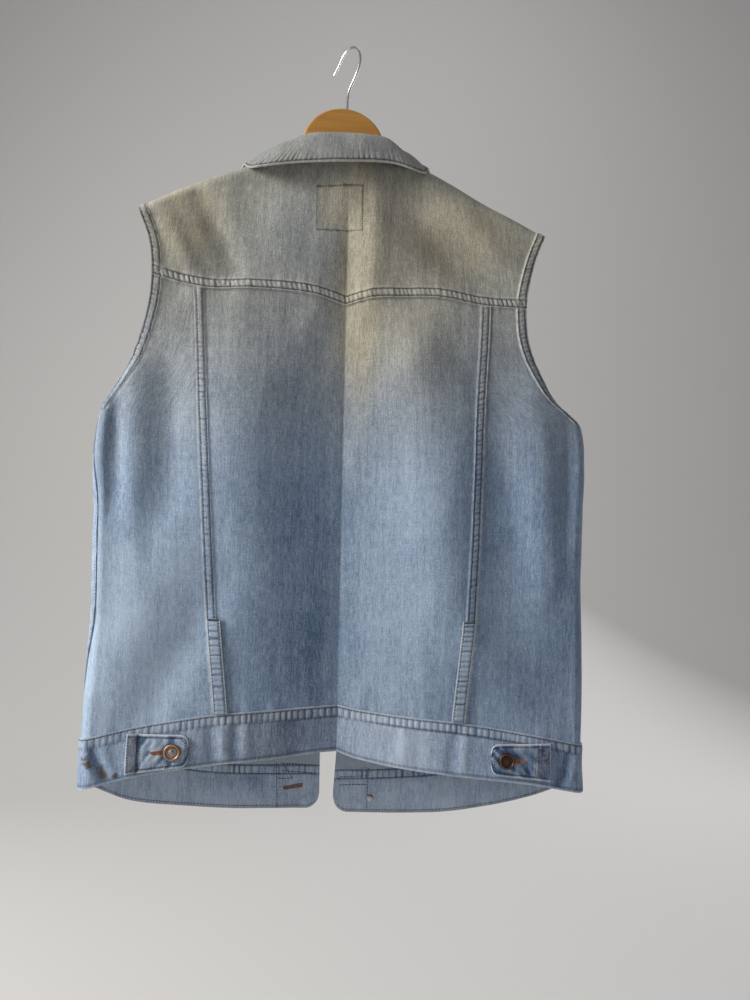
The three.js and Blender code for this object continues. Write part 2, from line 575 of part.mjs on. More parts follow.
// Foot of the collar: the neck seam, in the middle of the cloth.
function neckPoint(u) {
  const s = u < 0 ? -1 : 1;
  const a = Math.abs(u);
  if (a <= 1) {
    const x = NECK_HALF * Math.sin((a * Math.PI) / 2);
    const z = backTop(s, x);
    const depth = backDepth(s * x, z) * Math.cos((a * Math.PI) / 2);
    return new THREE.Vector3(s * x, CLOTH / 2 - depth, z + COLLAR_CLEAR);
  }
  const turn = ((a - 1) * Math.PI) / 2;
  const inner = read(FRONT_EDGE, 'z', sideOf(s), ridgeZ(s, NECK_HALF) - NECK_DROP);
  const x = lerp(inner, NECK_HALF, Math.cos(turn));
  const z = ridgeZ(s, NECK_HALF) - NECK_DROP * Math.sin(turn);
  const depth = frontPoint(s, frontShare(s, x, z), z).y;
  const inward = COLLAR_CLEAR * Math.cos(turn);
  return new THREE.Vector3(s * (x - inward), Math.max(depth - CLOTH / 2, CLOTH / 2), z + COLLAR_CLEAR);
}

function frontShare(s, x, z) {
  const inner = read(FRONT_EDGE, 'z', sideOf(s), z);
  return (A_ROUND * (x - inner)) / (frontEdgeX(s, z) - SIDE_ROUND - inner);
}

const collarAt = (u, keys) => new THREE.Vector3(...keys.map((key) => read(COLLAR, 'u', key, u)));

function standTop(u) {
  const at = collarAt(u, ['foldX', 'foldY', 'foldZ']);
  return { at, up: at.clone().sub(neckPoint(u)).normalize() };
}

function standPoint(u, v) {
  const { at, up } = standTop(u);
  return neckPoint(u).lerp(at.addScaledVector(up, -FOLD_GAP), v);
}

// The fall runs on upwards, rolls over and comes down outside the stand.
function fallPoint(u, v) {
  const { at, up } = standTop(u);
  const out = outward(standPoint, u, 1, [-2, 2], [0, 1], 1);
  const edge = collarAt(u, ['x', 'y', 'z']);
  const roll = read(COLLAR, 'u', 'roll', u);
  const first = at.clone().addScaledVector(up, roll).addScaledVector(out, roll * ROLL.lean);
  const over = at.clone().lerp(edge, ROLL.along).addScaledVector(up, roll * ROLL.crown);
  over.addScaledVector(out, roll);
  return layOver(new THREE.CubicBezierCurve3(at, first, over, edge).getPoint(v));
}

// Moves a place of the collar's fall out to where it lies on the shoulders, if it would sink into them.
function layOver(at) {
  const s = at.x < 0 ? -1 : 1;
  const x = Math.abs(at.x);
  if (x < NECK_HALF - FALL_CLEAR) return at;
  const hang = ridgeZ(s, x) - RIDGE_ROUND;
  const depth = (at.y > 0 ? frontDepth(at.x, at.z) : backDepth(at.x, at.z)) + FALL_CLEAR;
  const up = Math.max(0, (at.z - hang) / (RIDGE_ROUND + FALL_CLEAR));
  const reach = Math.hypot(at.y / depth, up);
  if (reach >= 1) return at;
  if (up > 0) at.z = hang + (at.z - hang) / reach;
  at.y /= reach;
  return at;
}
const nearShoulder = [0.82, 0.9, 0.95, 1, 1.04, 1.08, 1.12, 1.18, 1.25];
const aroundNeck = mirrored([0, 0.25, 0.5, 0.7, ...nearShoulder, 1.4, 1.6, 1.8, 2]);
const collarWall = { turn: 1, lift: () => DOUBLE / 2, sink: DOUBLE / 2 };
const downTheFall = [0, 0.07, 0.16, 0.28, 0.48, 0.74, 1];
add(garment, 'collar_stand', wall(standPoint, aroundNeck, [0, 0.5, 1], collarWall), denim);
add(garment, 'collar_fall', wall(fallPoint, aroundNeck, downTheFall, collarWall), denim);

// The waist tabs: sewn down at the outer end, buttoned at the inner end.
const TAB = {
  length: 63,
  sewnHalf: 19.5,
  freeHalf: 15.5,
  corner: 8,
  above: 0.9,
  thick: 1.8,
  fold: 12,
  foldLift: 0.8,
};
const TABS = [
  { s: -1, x1: -210, z1: -789.5, x2: -149, z2: -786.5, button: 47 },
  { s: 1, x1: 224, z1: -800, x2: 161, z2: -797, button: 47 },
];
const BUTTON = { radius: 8.5, rim: 1.1, height: 3.6, clear: 0.45, seat: 5 };

// The band's outer face at a place given by x and z.
function bandFace(x, z) {
  const s = x < 0 ? -1 : 1;
  const [panel, flat] = [centrePanelX(s, z), edgeX(s, z) - SIDE_ROUND];
  return backPoint(s * lerp(U_PANEL, U_ROUND, (Math.abs(x) - panel) / (flat - panel)), z);
}

function tabPoint(tab, t, v) {
  const at = t / TAB.length;
  const round = Math.max(0, t - (TAB.length - TAB.corner));
  const cut = TAB.corner - Math.sqrt(TAB.corner ** 2 - round ** 2);
  const half = lerp(TAB.sewnHalf, TAB.freeHalf, at) - cut;
  return bandFace(lerp(tab.x1, tab.x2, at), lerp(tab.z1, tab.z2, at) - v * half);
}

// A shank button's cap: a dished disc with a rolled rim.
function buttonCap() {
  const { radius, rim, height } = BUTTON;
  const profile = [
    [0, 0],
    [radius * 0.8, 0],
    [radius, height * 0.45],
    [radius - rim * 0.6, height],
    [radius - rim * 1.8, height * 0.72],
    [0, height * 0.82],
  ].map(([r, h]) => new THREE.Vector2(r, h));
  return new THREE.LatheGeometry(profile, 18);
}

// Sets a turned piece on a surface, with its axis along the way out.
function seat(mesh, at, out, clear) {
  mesh.position.copy(at).addScaledVector(out, clear);
  mesh.quaternion.setFromUnitVectors(new THREE.Vector3(0, 1, 0), out);
}

for (const tab of TABS) {
  const name = sideOf(tab.s);
  const along = [0, TAB.fold - STEP, TAB.fold, 24, 36, 46, 55, 58.5, 61.5, TAB.length];
  const point = (t, v) => tabPoint(tab, t, v);
  const lift = (t) => BAND_LIFT + TAB.above + TAB.thick + (t < TAB.fold ? TAB.foldLift : 0);
  const shape = { turn: tab.s, lift, sink: -BAND_LIFT - TAB.above };
  add(garment, 'waist_tab_' + name, wall(point, along, steps(-1, 1, 4), shape), tabDenim);
  const out = outward(point, tab.button, 0, [0, TAB.length], [-1, 1], tab.s);
  const top = BAND_LIFT + TAB.above + TAB.thick + BUTTON.clear;
  seat(add(garment, 'waist_tab_button_' + name, buttonCap(), copper), point(tab.button, 0), out, top);
}

// The front's buttons, on the right placket, each with its rivet on the inside of the cloth.
const FRONT_BUTTONS = { count: 6, first: -246, last: -762, inset: 20, band: { x: 40, z: -849 } };
const RIVET = { radius: 3.8, height: 1.6, clear: 0.4 };

function rivetHead() {
  const { radius, height } = RIVET;
  const profile = [
    [0, 0],
    [radius, 0],
    [radius * 0.8, height * 0.8],
    [0, height],
  ].map(([r, h]) => new THREE.Vector2(r, h));
  return new THREE.LatheGeometry(profile, 10);
}

function frontButton(number, x, z, lift, sink) {
  const point = (px, down) => new THREE.Vector3(px, frontDepth(px, -down), -down);
  const near = (at) => [at - BUTTON.seat, at + BUTTON.seat];
  const [at, out] = [point(x, -z), outward(point, x, -z, near(x), near(-z), 1)];
  seat(add(garment, 'front_button_' + number, buttonCap(), copper), at, out, lift + BUTTON.clear);
  const inward = out.clone().negate();
  seat(add(garment, 'front_rivet_' + number, rivetHead(), zinc), at, inward, sink + RIVET.clear);
}
for (let i = 0; i < FRONT_BUTTONS.count; i++) {
  const z = lerp(FRONT_BUTTONS.first, FRONT_BUTTONS.last, i / (FRONT_BUTTONS.count - 1));
  const x = read(FRONT_EDGE, 'z', 'right', z) + FRONT_BUTTONS.inset;
  frontButton(i + 1, x, z, PLACKET.above + PLACKET.thick, CLOTH);
}
const onBand = FRONT_BUTTONS.band;
frontButton(FRONT_BUTTONS.count + 1, onBand.x, onBand.z, BAND_LIFT, BAND_WALL - BAND_LIFT);

// The hanger: a flat wooden board with a round crest, and a wire hook turned half across it.
const BOARD = { thick: 11, bevel: 2.2, crest: 47, crestTop: -74.5, reach: 196, tilt: 1.2, slope: 0.48, x: -1 };
const SHOULDER = { x: 71, z: -143, drop: 3.5, hollow: 51 }; // where the crest runs out into the arms
const ARM = { drop: 3, round: 8, heel: 12, deep: 22, foot: 10, footUp: 20 }; // the arms and their rounded ends
const CREST_END = -2; // where the crest's arc starts and ends, in degrees
const BELLY = { x: 90, z: -188, middle: -176 }; // the board's lower edge
const WIRE = { radius: 1.3, turned: 54 };
const HOOK = [
  { across: 0, up: BOARD.crestTop + 0.4 },
  { across: 0, up: -66 },
  { across: 0.8, up: -57 },
  { across: 3.5, up: -50 },
  { across: 8.5, up: -44 },
  { across: 15, up: -37 },
  { across: 20, up: -28.5 },
  { across: 21.5, up: -19 },
  { across: 17.5, up: -8 },
  { across: 9.5, up: -1 },
  { across: 0, up: WIRE.radius },
  { across: -8, up: -1.2 },
  { across: -14.5, up: -7 },
  { across: -21, up: -13.5 },
  { across: -26.5, up: -17.5 },
];

const armTop = (x) => SHOULDER.z - ARM.drop - (x - SHOULDER.x) * BOARD.slope;

// Half of the board's outline, on side s, from the crest to the middle of the lower edge.
function boardSide(s) {
  const tip = armTop(BOARD.reach);
  return [
    { x: s * SHOULDER.hollow, z: SHOULDER.z, toX: s * SHOULDER.x, toZ: SHOULDER.z - SHOULDER.drop },
    { toX: s * (BOARD.reach - ARM.round), toZ: tip - 1 },
    { x: s * BOARD.reach, z: tip - ARM.drop, toX: s * BOARD.reach, toZ: tip - ARM.heel },
    { x: s * BOARD.reach, z: tip - ARM.deep, toX: s * (BOARD.reach - ARM.foot), toZ: tip - ARM.footUp },
    { x: s * BELLY.x, z: BELLY.z, toX: 0, toZ: BELLY.middle },
  ];
}

// The same half, run the other way.
function reversed(half, start) {
  const ends = [start, ...half.map(({ toX, toZ }) => ({ toX, toZ }))];
  return half.map(({ x, z }, i) => ({ x, z, ...ends[i] })).reverse();
}

function board() {
  const crest = BOARD.crest - BOARD.bevel;
  const centre = BOARD.crestTop - BOARD.crest;
  const low = degToRad(CREST_END);
  const start = { toX: crest * Math.cos(low), toZ: centre + crest * Math.sin(low) };
  const outline = new THREE.Shape();
  outline.moveTo(start.toX, start.toZ);
  outline.absarc(0, centre, crest, low, Math.PI - low, false);
  for (const { x, z, toX, toZ } of [...boardSide(-1), ...reversed(boardSide(1), start)]) {
    if (x === undefined) outline.lineTo(toX, toZ);
    else outline.quadraticCurveTo(x, z, toX, toZ);
  }
  const flat = BOARD.thick - 2 * BOARD.bevel;
  const bevel = { bevelSize: BOARD.bevel, bevelThickness: BOARD.bevel, bevelSegments: 2 };
  const shape = new THREE.ExtrudeGeometry(outline, { depth: flat, curveSegments: 10, ...bevel });
  return shape.translate(0, 0, -flat / 2).rotateX(Math.PI / 2);
}
const boardMesh = add(hanger, 'hanger_board', board(), wood);
boardMesh.rotation.y = degToRad(BOARD.tilt);

function hook() {
  const turned = degToRad(WIRE.turned);
  const line = new THREE.CatmullRomCurve3(
    HOOK.map(({ across, up }) => new THREE.Vector3(across * Math.cos(turned), -across * Math.sin(turned), up)),
    false,
    'centripetal',
  );
  const section = new THREE.Shape().absarc(0, 0, WIRE.radius, 0, 2 * Math.PI, false);
  return new THREE.ExtrudeGeometry(section, { steps: 40, curveSegments: 4, extrudePath: line, bevelEnabled: false });
}
add(hanger, 'hanger_hook', hook(), steel);

const OFF_CENTRE = 3; // how far the middle of the jacket hangs to the right of the hook
garment.position.x = OFF_CENTRE;
boardMesh.position.x = BOARD.x;

const part = new THREE.Group();
part.add(garment, hanger);
export default part;
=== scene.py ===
# %% [markdown]
# # A denim vest on a wooden hanger
# The vest hangs with its back to the viewer. Every length below is in millimetres, as a tailor would note it,
# and turns into metres only when a mesh is made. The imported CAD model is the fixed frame: it says where each
# piece of cloth lies. This lesson lays finer cloth on the same lines, sews it, and finishes wood and metal.

import math

import bpy
import numpy as np
from mathutils import Matrix, Vector


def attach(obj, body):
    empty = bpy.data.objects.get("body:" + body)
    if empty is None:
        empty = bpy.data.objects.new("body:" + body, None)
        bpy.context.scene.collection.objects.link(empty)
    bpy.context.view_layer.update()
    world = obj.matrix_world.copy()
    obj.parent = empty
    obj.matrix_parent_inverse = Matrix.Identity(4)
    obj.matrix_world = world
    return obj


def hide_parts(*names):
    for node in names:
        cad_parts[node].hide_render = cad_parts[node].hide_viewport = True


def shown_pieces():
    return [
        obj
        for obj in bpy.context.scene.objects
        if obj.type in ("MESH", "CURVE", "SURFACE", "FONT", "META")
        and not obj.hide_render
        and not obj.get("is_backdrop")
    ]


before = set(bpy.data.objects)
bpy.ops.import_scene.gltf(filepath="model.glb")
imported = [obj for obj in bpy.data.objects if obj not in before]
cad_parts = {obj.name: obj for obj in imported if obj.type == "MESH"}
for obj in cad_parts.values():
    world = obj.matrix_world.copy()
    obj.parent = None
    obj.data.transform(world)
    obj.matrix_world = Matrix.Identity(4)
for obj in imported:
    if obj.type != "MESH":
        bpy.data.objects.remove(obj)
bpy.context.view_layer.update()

# %% [markdown]
# ## The hanging shape
# A cut on a hanger is a pair of surfaces, the back and the two fronts. Each could be sculpted by eye, but
# then neighbouring panels would drift apart at the seams. Tables of the same measures as the CAD source keep
# all panels on one surface, so each seam closes by itself. A smooth curve runs through the rows of each
# table.

# %% Tables of the cut
def table(names, *rows):
    """Named columns of numbers, from rows."""
    return dict(zip(names.split(), np.array(rows, float).T))


CLOTH, DOUBLE, SEAM_GAP = 1.6, 2.0, 0.1  # one ply, the collar's two plies, the clearance of a seam
FELL, FELL_WIDTH, YOKE_FELL = 1.1, 10.5, 12.0  # a felled seam: how far it stands out, and its widths
BAND_LIFT, BAND_WALL = 1.3, 2.6  # the waistband: how far it stands out, and its wall
NECK_HALF, NECK_BACK, NECK_DROP = 72.0, -142.0, 86.0
RIDGE_ROUND, SIDE_ROUND, ARMPIT, FRONT_SCOOP = 16.0, 16.0, -440.0, 14.0
U_PANEL, U_ROUND, A_ROUND = 0.5, 0.8, 0.7  # where a surface changes from panel to panel, and starts to round
OFF_CENTRE = 3.0  # how far the middle of the vest hangs to the right of the hook

OUTLINE = table(
    "z left right",
    (-210, 231, 230), (-250, 215, 214), (-285, 210, 205), (-316, 210.5, 202.5), (-350, 216.5, 206),
    (-389, 229, 222), (-412, 242, 238), (-430, 254, 261), (-440, 260, 271), (-484, 263, 274),
    (-534, 260, 271), (-600, 258, 268.5), (-660, 256.5, 268.5), (-700, 258, 268.5), (-742, 259.5, 267.5),
    (-790, 260.5, 266.5), (-840, 260.5, 267),
)
RIDGE = table(
    "x left right",
    (72, -134, -135), (100, -146, -148.5), (125, -157, -161.5), (150, -168, -175), (185, -184, -192),
    (208, -196, -203.5), (232, -210, -215),
)
DEPTH = table(
    "z back front",
    (-130, 15, 13), (-200, 17, 14), (-300, 22, 16), (-450, 26, 18), (-600, 28, 19), (-740, 29, 20),
    (-860, 30, 21),
)
YOKE_SEAM = table(
    "x left right",
    (0, -313, -313), (15, -309, -308), (32, -305, -304), (60, -302, -302), (105, -302, -300),
    (155, -304, -306), (208, -292, -308),
)
CENTRE_PANEL = table(
    "z left right",
    (-305, 164, 162), (-430, 155, 155.5), (-535, 146.5, 151), (-655, 137, 143.5), (-755, 126, 134),
)
BACK_BAND = table(
    "x left right hemLeft hemRight",
    (0, -743, -743, -790, -790), (20, -744, -747, -791, -797), (65, -747, -753, -796, -806),
    (130, -752, -760, -802, -815), (200, -763, -771, -812, -823), (266, -778, -784, -828, -834),
)
FRONT_BAND = table(
    "x left right hemLeft hemRight",
    (0, -812, -817, -859, -863), (100, -811, -815, -858, -865), (150, -807, -809, -855, -861.5),
    (215, -795, -798, -848, -850), (266, -778, -784, -828, -834),
)
FRONT_EDGE = table("z left right", (-200, 24, 23), (-400, 21, 18), (-650, 17, 11), (-840, 15, 0))
SIDE_SEAM = table(
    "z left right",
    (-440, 90, 90), (-480, 64, 90), (-525, 34, 90), (-600, 26, 90), (-660, 30, 90), (-705, 56, 90),
    (-745, 90, 90),
)
print("tables of the cut:", 9)

# %% Read a table on a smooth curve
def read(rows, key, column, at):
    """The value of a column where its key is at, on a smooth curve through the rows."""
    keys, values = rows[key], rows[column]
    at = np.asarray(at, float)
    rising = 1 if keys[1] > keys[0] else -1
    i = np.clip(np.searchsorted(rising * keys, rising * at) - 1, 0, len(keys) - 2)
    n = np.arange(len(keys))
    before, after = np.maximum(n - 1, 0), np.minimum(n + 1, len(keys) - 1)
    slopes = (values[after] - values[before]) / (keys[after] - keys[before])
    span = keys[i + 1] - keys[i]
    t = np.clip((at - keys[i]) / span, 0, 1)
    return (
        (2 * t**3 - 3 * t**2 + 1) * values[i]
        + (t**3 - 2 * t**2 + t) * span * slopes[i]
        + (3 * t**2 - 2 * t**3) * values[i + 1]
        + (t**3 - t**2) * span * slopes[i + 1]
    )


def sided(rows, key, s, at, left="left", right="right"):
    """Reads the left or the right column, by the side s that each place is on."""
    return np.where(s < 0, read(rows, key, left, at), read(rows, key, right, at))


def lerp(a, b, t):
    return a + (b - a) * t


def eased(start, end, at):
    """0 before start and 1 after end, smooth in between. start may be the larger one."""
    t = np.clip((at - start) / (end - start), 0, 1)
    return t * t * (3 - 2 * t)


print("half width at the armpit:", float(read(OUTLINE, "z", "left", ARMPIT)))

# %% [markdown]
# ## Folds
# Soft folds in hung cloth are long, rounded lines that die away at both ends. A cloth simulation would invent
# its own folds, but the ones here should lie where they do on the real vest, so each one is a row of a table:
# its two ends, its half width, and how far it stands out (or in, below 0). The pressed crease down the centre
# back folds inwards, and it is a sharper valley of its own.

# %% Tables of folds
CREASE = dict(depth=10.0, half=95.0, power=1.4, start=-150.0, full=-250.0, line=0.7, line_half=5.0)
CREASE_TOP = dict(depth=4.0, half=32.0, above=-300.0, below=-430.0)  # it is narrower on the yoke
FOLD = "x1 z1 x2 z2 width depth"
BACK_FOLDS = table(
    FOLD,
    (-20, -142, 20, -142, 46, 9), (-240, -425, -236, -545, 10, -5), (-220, -405, -212, -610, 15, 3.5),
    (-188, -390, -178, -540, 15, -3.2), (-160, -550, -240, -745, 26, 4), (-118, -610, -205, -765, 20, -3.5),
    (-112, -330, -112, -640, 46, 7), (76, -335, 84, -415, 32, 6), (110, -490, 114, -690, 44, 7.5),
    (165, -400, 176, -650, 30, -5), (214, -400, 222, -620, 22, 6), (250, -440, 244, -570, 10, -3.5),
    (-170, -180, -122, -280, 14, -4), (-202, -215, -158, -300, 12, 3), (58, -172, 160, -295, 24, -6),
    (98, -165, 202, -275, 18, 3), (30, -175, 34, -290, 16, 3), (120, -640, 210, -770, 24, 3.5),
)
FRONT_FOLDS = table(
    FOLD,
    (-150, -230, -95, -400, 26, -4), (-120, -420, -95, -780, 32, 4.5), (-215, -430, -190, -640, 22, -4),
    (140, -230, 90, -420, 28, -4), (110, -450, 130, -790, 34, 5), (205, -430, 190, -600, 20, -4.5),
    (-35, -600, -50, -850, 30, 3), (48, -560, 38, -820, 26, -3),
)


def folds_at(folds, x, z):
    """How far the folds move the cloth out at a place."""
    moved = np.zeros(np.broadcast(x, z).shape)
    for x1, z1, x2, z2, width, depth in zip(*folds.values()):
        dx, dz = x2 - x1, z2 - z1
        t = np.clip(((x - x1) * dx + (z - z1) * dz) / (dx * dx + dz * dz), 0, 1)
        off = np.hypot(x - x1 - t * dx, z - z1 - t * dz) / width
        moved += depth * (0.55 + 0.45 * np.sin(np.pi * t)) * np.exp(-off * off)
    return moved


print("folds in the back:", len(BACK_FOLDS["x1"]), "in the fronts:", len(FRONT_FOLDS["x1"]))

# %% [markdown]
# ## Two surfaces
# A place on the back is (u, z): u runs from -1 at the left side seam to 1 at the right one. A place on a
# front is (a, z): a runs from 0 at the opening to 1 at the side seam. Working with numpy arrays instead of
# single numbers lets one call place ten thousand points, which keeps the whole script fast.

# %% Lines of the cut
SEAM_TURN = 0.04  # half the clearance of a side seam, in degrees round the side


def side_of(u):
    return np.where(np.asarray(u) < 0, -1, 1)


def edge_x(s, z):
    return sided(OUTLINE, "z", s, z)


def front_edge_x(s, z):
    down = np.clip((OUTLINE["z"][0] - z) / (OUTLINE["z"][0] - ARMPIT), 0, 1)
    return edge_x(s, z) - FRONT_SCOOP * np.sin(np.pi * down)


def centre_panel_x(s, z):
    top = CENTRE_PANEL["z"][0]
    panel = sided(CENTRE_PANEL, "z", s, z)
    return np.where(z > top, panel * edge_x(s, z) / edge_x(s, top), panel)


def ridge_z(s, x):
    return sided(RIDGE, "x", s, x)


def back_top(s, x):
    """Top of the back: the neck seam, then the shoulder ridge."""
    neck = lerp(NECK_BACK, ridge_z(s, NECK_HALF), (x / NECK_HALF) ** 2)
    return np.where(x >= NECK_HALF, ridge_z(s, x), neck)


def front_top(s, x):
    """Top of a front: the scooped neck, then the shoulder ridge."""
    neck = ridge_z(s, NECK_HALF)
    edge = sided(FRONT_EDGE, "z", s, neck - NECK_DROP)
    across = np.clip((x - edge) / (NECK_HALF - edge), 0, 1)
    return np.where(x >= NECK_HALF, ridge_z(s, x), neck - NECK_DROP * np.sqrt(1 - across**2))


def yoke_seam_z(s, x):
    return sided(YOKE_SEAM, "x", s, x)


def seam_angle(s, z):
    return sided(SIDE_SEAM, "z", s, z) - SEAM_TURN


def back_band_z(s, x):
    return sided(BACK_BAND, "x", s, x)


def back_hem_z(s, x):
    return sided(BACK_BAND, "x", s, x, "hemLeft", "hemRight")


def front_band_z(s, x):
    return sided(FRONT_BAND, "x", s, x)


def front_hem_z(s, x):
    return sided(FRONT_BAND, "x", s, x, "hemLeft", "hemRight")


def closing(s, z):
    """How far an armhole has closed towards the side seam: 0 at the yoke, 1 at the armpit."""
    start = yoke_seam_z(s, NECK_HALF * 3)
    return np.clip((start - z) / (start - ARMPIT), 0, 1)


print("yoke seam at the middle and the armhole:", float(yoke_seam_z(1, 0)), float(yoke_seam_z(1, 208)))

# %% The back's surface
def over_ridge(top, z, share):
    """Rounding over the shoulder: 0 at the ridge, 1 where the cloth hangs."""
    up = np.clip((z - top + RIDGE_ROUND) / RIDGE_ROUND, 0, 1) * share
    return np.sqrt(1 - up * up)


def back_x(u, z):
    s, a = side_of(u), np.abs(u)
    panel, flat = centre_panel_x(s, z), edge_x(s, z) - SIDE_ROUND
    turn = np.radians((a - U_ROUND) / (1 - U_ROUND) * seam_angle(s, z))
    between = lerp(panel, flat, (a - U_PANEL) / (U_ROUND - U_PANEL))
    return np.where(
        a <= U_PANEL, a / U_PANEL * panel, np.where(a <= U_ROUND, between, flat + SIDE_ROUND * np.sin(turn))
    )


def back_depth(x, z):
    """Distance of the back from the middle plane, with its crease and folds."""
    wide = eased(CREASE_TOP["above"], CREASE_TOP["below"], z)
    half, deep = (lerp(CREASE_TOP[key], CREASE[key], wide) for key in ("half", "depth"))
    valley = deep * np.maximum(0, 1 - np.abs(x) / half) ** CREASE["power"]
    line = CREASE["line"] * np.exp(-np.abs(x) / CREASE["line_half"])
    pressed = 1 - eased(CREASE["full"], CREASE["start"], z)
    return read(DEPTH, "z", "back", z) - (valley + line) * pressed + folds_at(BACK_FOLDS, x, z)


def back_point(u, z):
    u, z = np.broadcast_arrays(np.asarray(u, float), np.asarray(z, float))
    s, x = side_of(u), back_x(u, z)
    turn = np.clip((np.abs(u) - U_ROUND) / (1 - U_ROUND), 0, 1) * seam_angle(s, z)
    shut = np.sin(np.radians(turn)) * closing(s, z)
    ridge = over_ridge(back_top(s, x), z, np.minimum(1, x / NECK_HALF))
    depth = back_depth(s * x, z) * np.sqrt(1 - shut**2) * ridge
    return np.stack([s * x, -depth - SEAM_GAP * (1 - closing(s, z)), z], -1)


def back_u(x, z):
    """The u of a place that is given by x and z."""
    s, a = side_of(x), np.abs(x)
    panel, flat = centre_panel_x(s, z), edge_x(s, z) - SIDE_ROUND
    turn = np.degrees(np.arcsin(np.clip((a - flat) / SIDE_ROUND, 0, 1))) / seam_angle(s, z)
    between = lerp(U_PANEL, U_ROUND, (a - panel) / (flat - panel))
    return s * np.where(a <= panel, a / panel * U_PANEL, np.where(a <= flat, between, lerp(U_ROUND, 1, turn)))


print("back at the waist:", back_point(0.4, -600).round(1).tolist())

# %% The fronts' surface
def front_turn(s, a, z):
    return np.clip((a - A_ROUND) / (1 - A_ROUND), 0, 1) * (180 - seam_angle(s, z) - 2 * SEAM_TURN)


def front_x(s, a, z):
    inner, flat = sided(FRONT_EDGE, "z", s, z), front_edge_x(s, z) - SIDE_ROUND
    return np.where(
        a <= A_ROUND, lerp(inner, flat, a / A_ROUND),
        flat + SIDE_ROUND * np.sin(np.radians(front_turn(s, a, z))),
    )


def front_depth(x, z):
    return read(DEPTH, "z", "front", z) + folds_at(FRONT_FOLDS, x, z)


def front_point(s, a, z):
    a, z = np.broadcast_arrays(np.asarray(a, float), np.asarray(z, float))
    x, turn = front_x(s, a, z), front_turn(s, a, z)
    shut = np.sin(np.radians(turn)) * closing(s, z)
    neck = ridge_z(s, NECK_HALF)
    slope = (neck - ridge_z(s, NECK_HALF + 30)) / 30
    ridge = np.where(x >= NECK_HALF, ridge_z(s, x), neck + slope * (NECK_HALF - x))
    depth = (
        front_depth(s * x, z) * np.sqrt(1 - shut**2) * over_ridge(ridge, z, 1)
        + SEAM_GAP * (1 - closing(s, z))
    )
    # where a front wraps round the side onto the back
    wrapped = back_depth(s * x, z) * np.cos(np.radians(turn))
    return np.stack([s * x, np.where(turn > 90, wrapped, depth), z], -1)


def meet(x_at, line, start):
    """Height at which a column of cloth meets a line of the cut."""
    z = start
    for _ in range(12):
        z = line(x_at(z))
    return z


def back_meets(u, line, start):
    return meet(lambda z: back_x(u, z), lambda x: line(side_of(u), x), start + 0 * np.asarray(u, float))


def front_meets(s, a, line, start):
    return meet(lambda z: front_x(s, a, z), lambda x: line(s, x), start + 0 * np.asarray(a, float))


print("left front at the waist:", front_point(-1, 0.4, -600).round(1).tolist())

# %% [markdown]
# ## How sewing shapes cloth
# A felled seam is three or four plies under two rows of stitches. The thread pulls the cloth in, the cloth
# puffs up between the rows, and after washing the whole seam puckers into short ridges. On the real vest this
# relief is what catches the light, and its tops are where the dye wears off. So it is modelled, not only
# painted: a seeded row of random heights makes the puckers irregular, and the same heights later drive the
# wear.

# %% Relief of stitched seams
KNOTS = 4096


def ripple(at, pitch, seed):
    """Smooth random heights from -1 to 1 along a line, a new one each pitch."""
    heights = np.random.default_rng(seed).uniform(-1, 1, KNOTS)
    t = np.asarray(at, float) / pitch + KNOTS / 2
    i = np.floor(t).astype(int)
    f = t - i
    f = f * f * (3 - 2 * f)
    return lerp(heights[i % KNOTS], heights[(i + 1) % KNOTS], f)


def crumple(x, z, wide, long, seed):
    """Smooth random heights from -1 to 1 over a surface."""
    heights = np.random.default_rng(seed).uniform(-1, 1, (64, 64))
    tx, tz = np.asarray(x, float) / wide + 32, np.asarray(z, float) / long + 32
    i, j = np.floor(tx).astype(int), np.floor(tz).astype(int)
    f, g = tx - i, tz - j
    f, g = f * f * (3 - 2 * f), g * g * (3 - 2 * g)
    rows = [lerp(heights[i % 64, (j + n) % 64], heights[(i + 1) % 64, (j + n) % 64], f) for n in (0, 1)]
    return lerp(rows[0], rows[1], g)


def bell(off):
    return np.exp(-off * off)


def ladder(along, pitch, seed):
    """Puckers along a seam, like the rungs of a ladder: 1 on their tops, down to -1 in the valleys."""
    turns = along / pitch + 0.45 * ripple(along, 19, seed)
    valley = (0.5 + 0.5 * np.cos(2 * np.pi * turns)) ** 2.2
    return 1 - 2 * valley * (0.72 + 0.28 * ripple(along, pitch, seed + 1))


STITCH_IN = 2.0  # distance of a row of stitches from the edge of its seam
RUNG = 5.4  # distance between the puckers of a felled seam
ARM_HEM = 11.0  # width of the turned hem of an armhole


def between_rows(w, width):
    """1 in the middle of a seam, 0 at its two rows of stitches."""
    return (
        eased(STITCH_IN - 0.6, STITCH_IN + 1.8, w)
        * eased(width - STITCH_IN + 0.6, width - STITCH_IN - 1.8, w)
    )


def felled(w, width, along, seed):
    """Relief of a felled seam at w from its free edge: raised, pulled in at its stitches, puckered."""
    on = eased(width + 0.9, width - 0.5, w) * (w > -0.6)
    rows = bell((w - STITCH_IN) / 0.8) + bell((w - width + STITCH_IN) / 0.8)
    rungs = between_rows(w, width) * ladder(along + 0.3 * w, RUNG, seed)
    return on * (FELL - 0.45 * rows + 0.45 * rungs)


def drawn(w, along, seed, reach=8.0, height=0.45):
    """Ripples in the cloth beside a row of stitches, at w from it."""
    return height * ripple(along, 4.6, seed) * np.exp(-np.maximum(w, 0) / reach)


print("relief across a fell:", felled(np.array([0, 2, 5, 8.5, 11]), FELL_WIDTH, 0, 1).round(2).tolist())

# %% Relief of the back
def armhole_inset(s, x, z):
    """Distance of a place from the edge of the armhole, as seen from the front."""
    return edge_x(s, z) - np.abs(x)


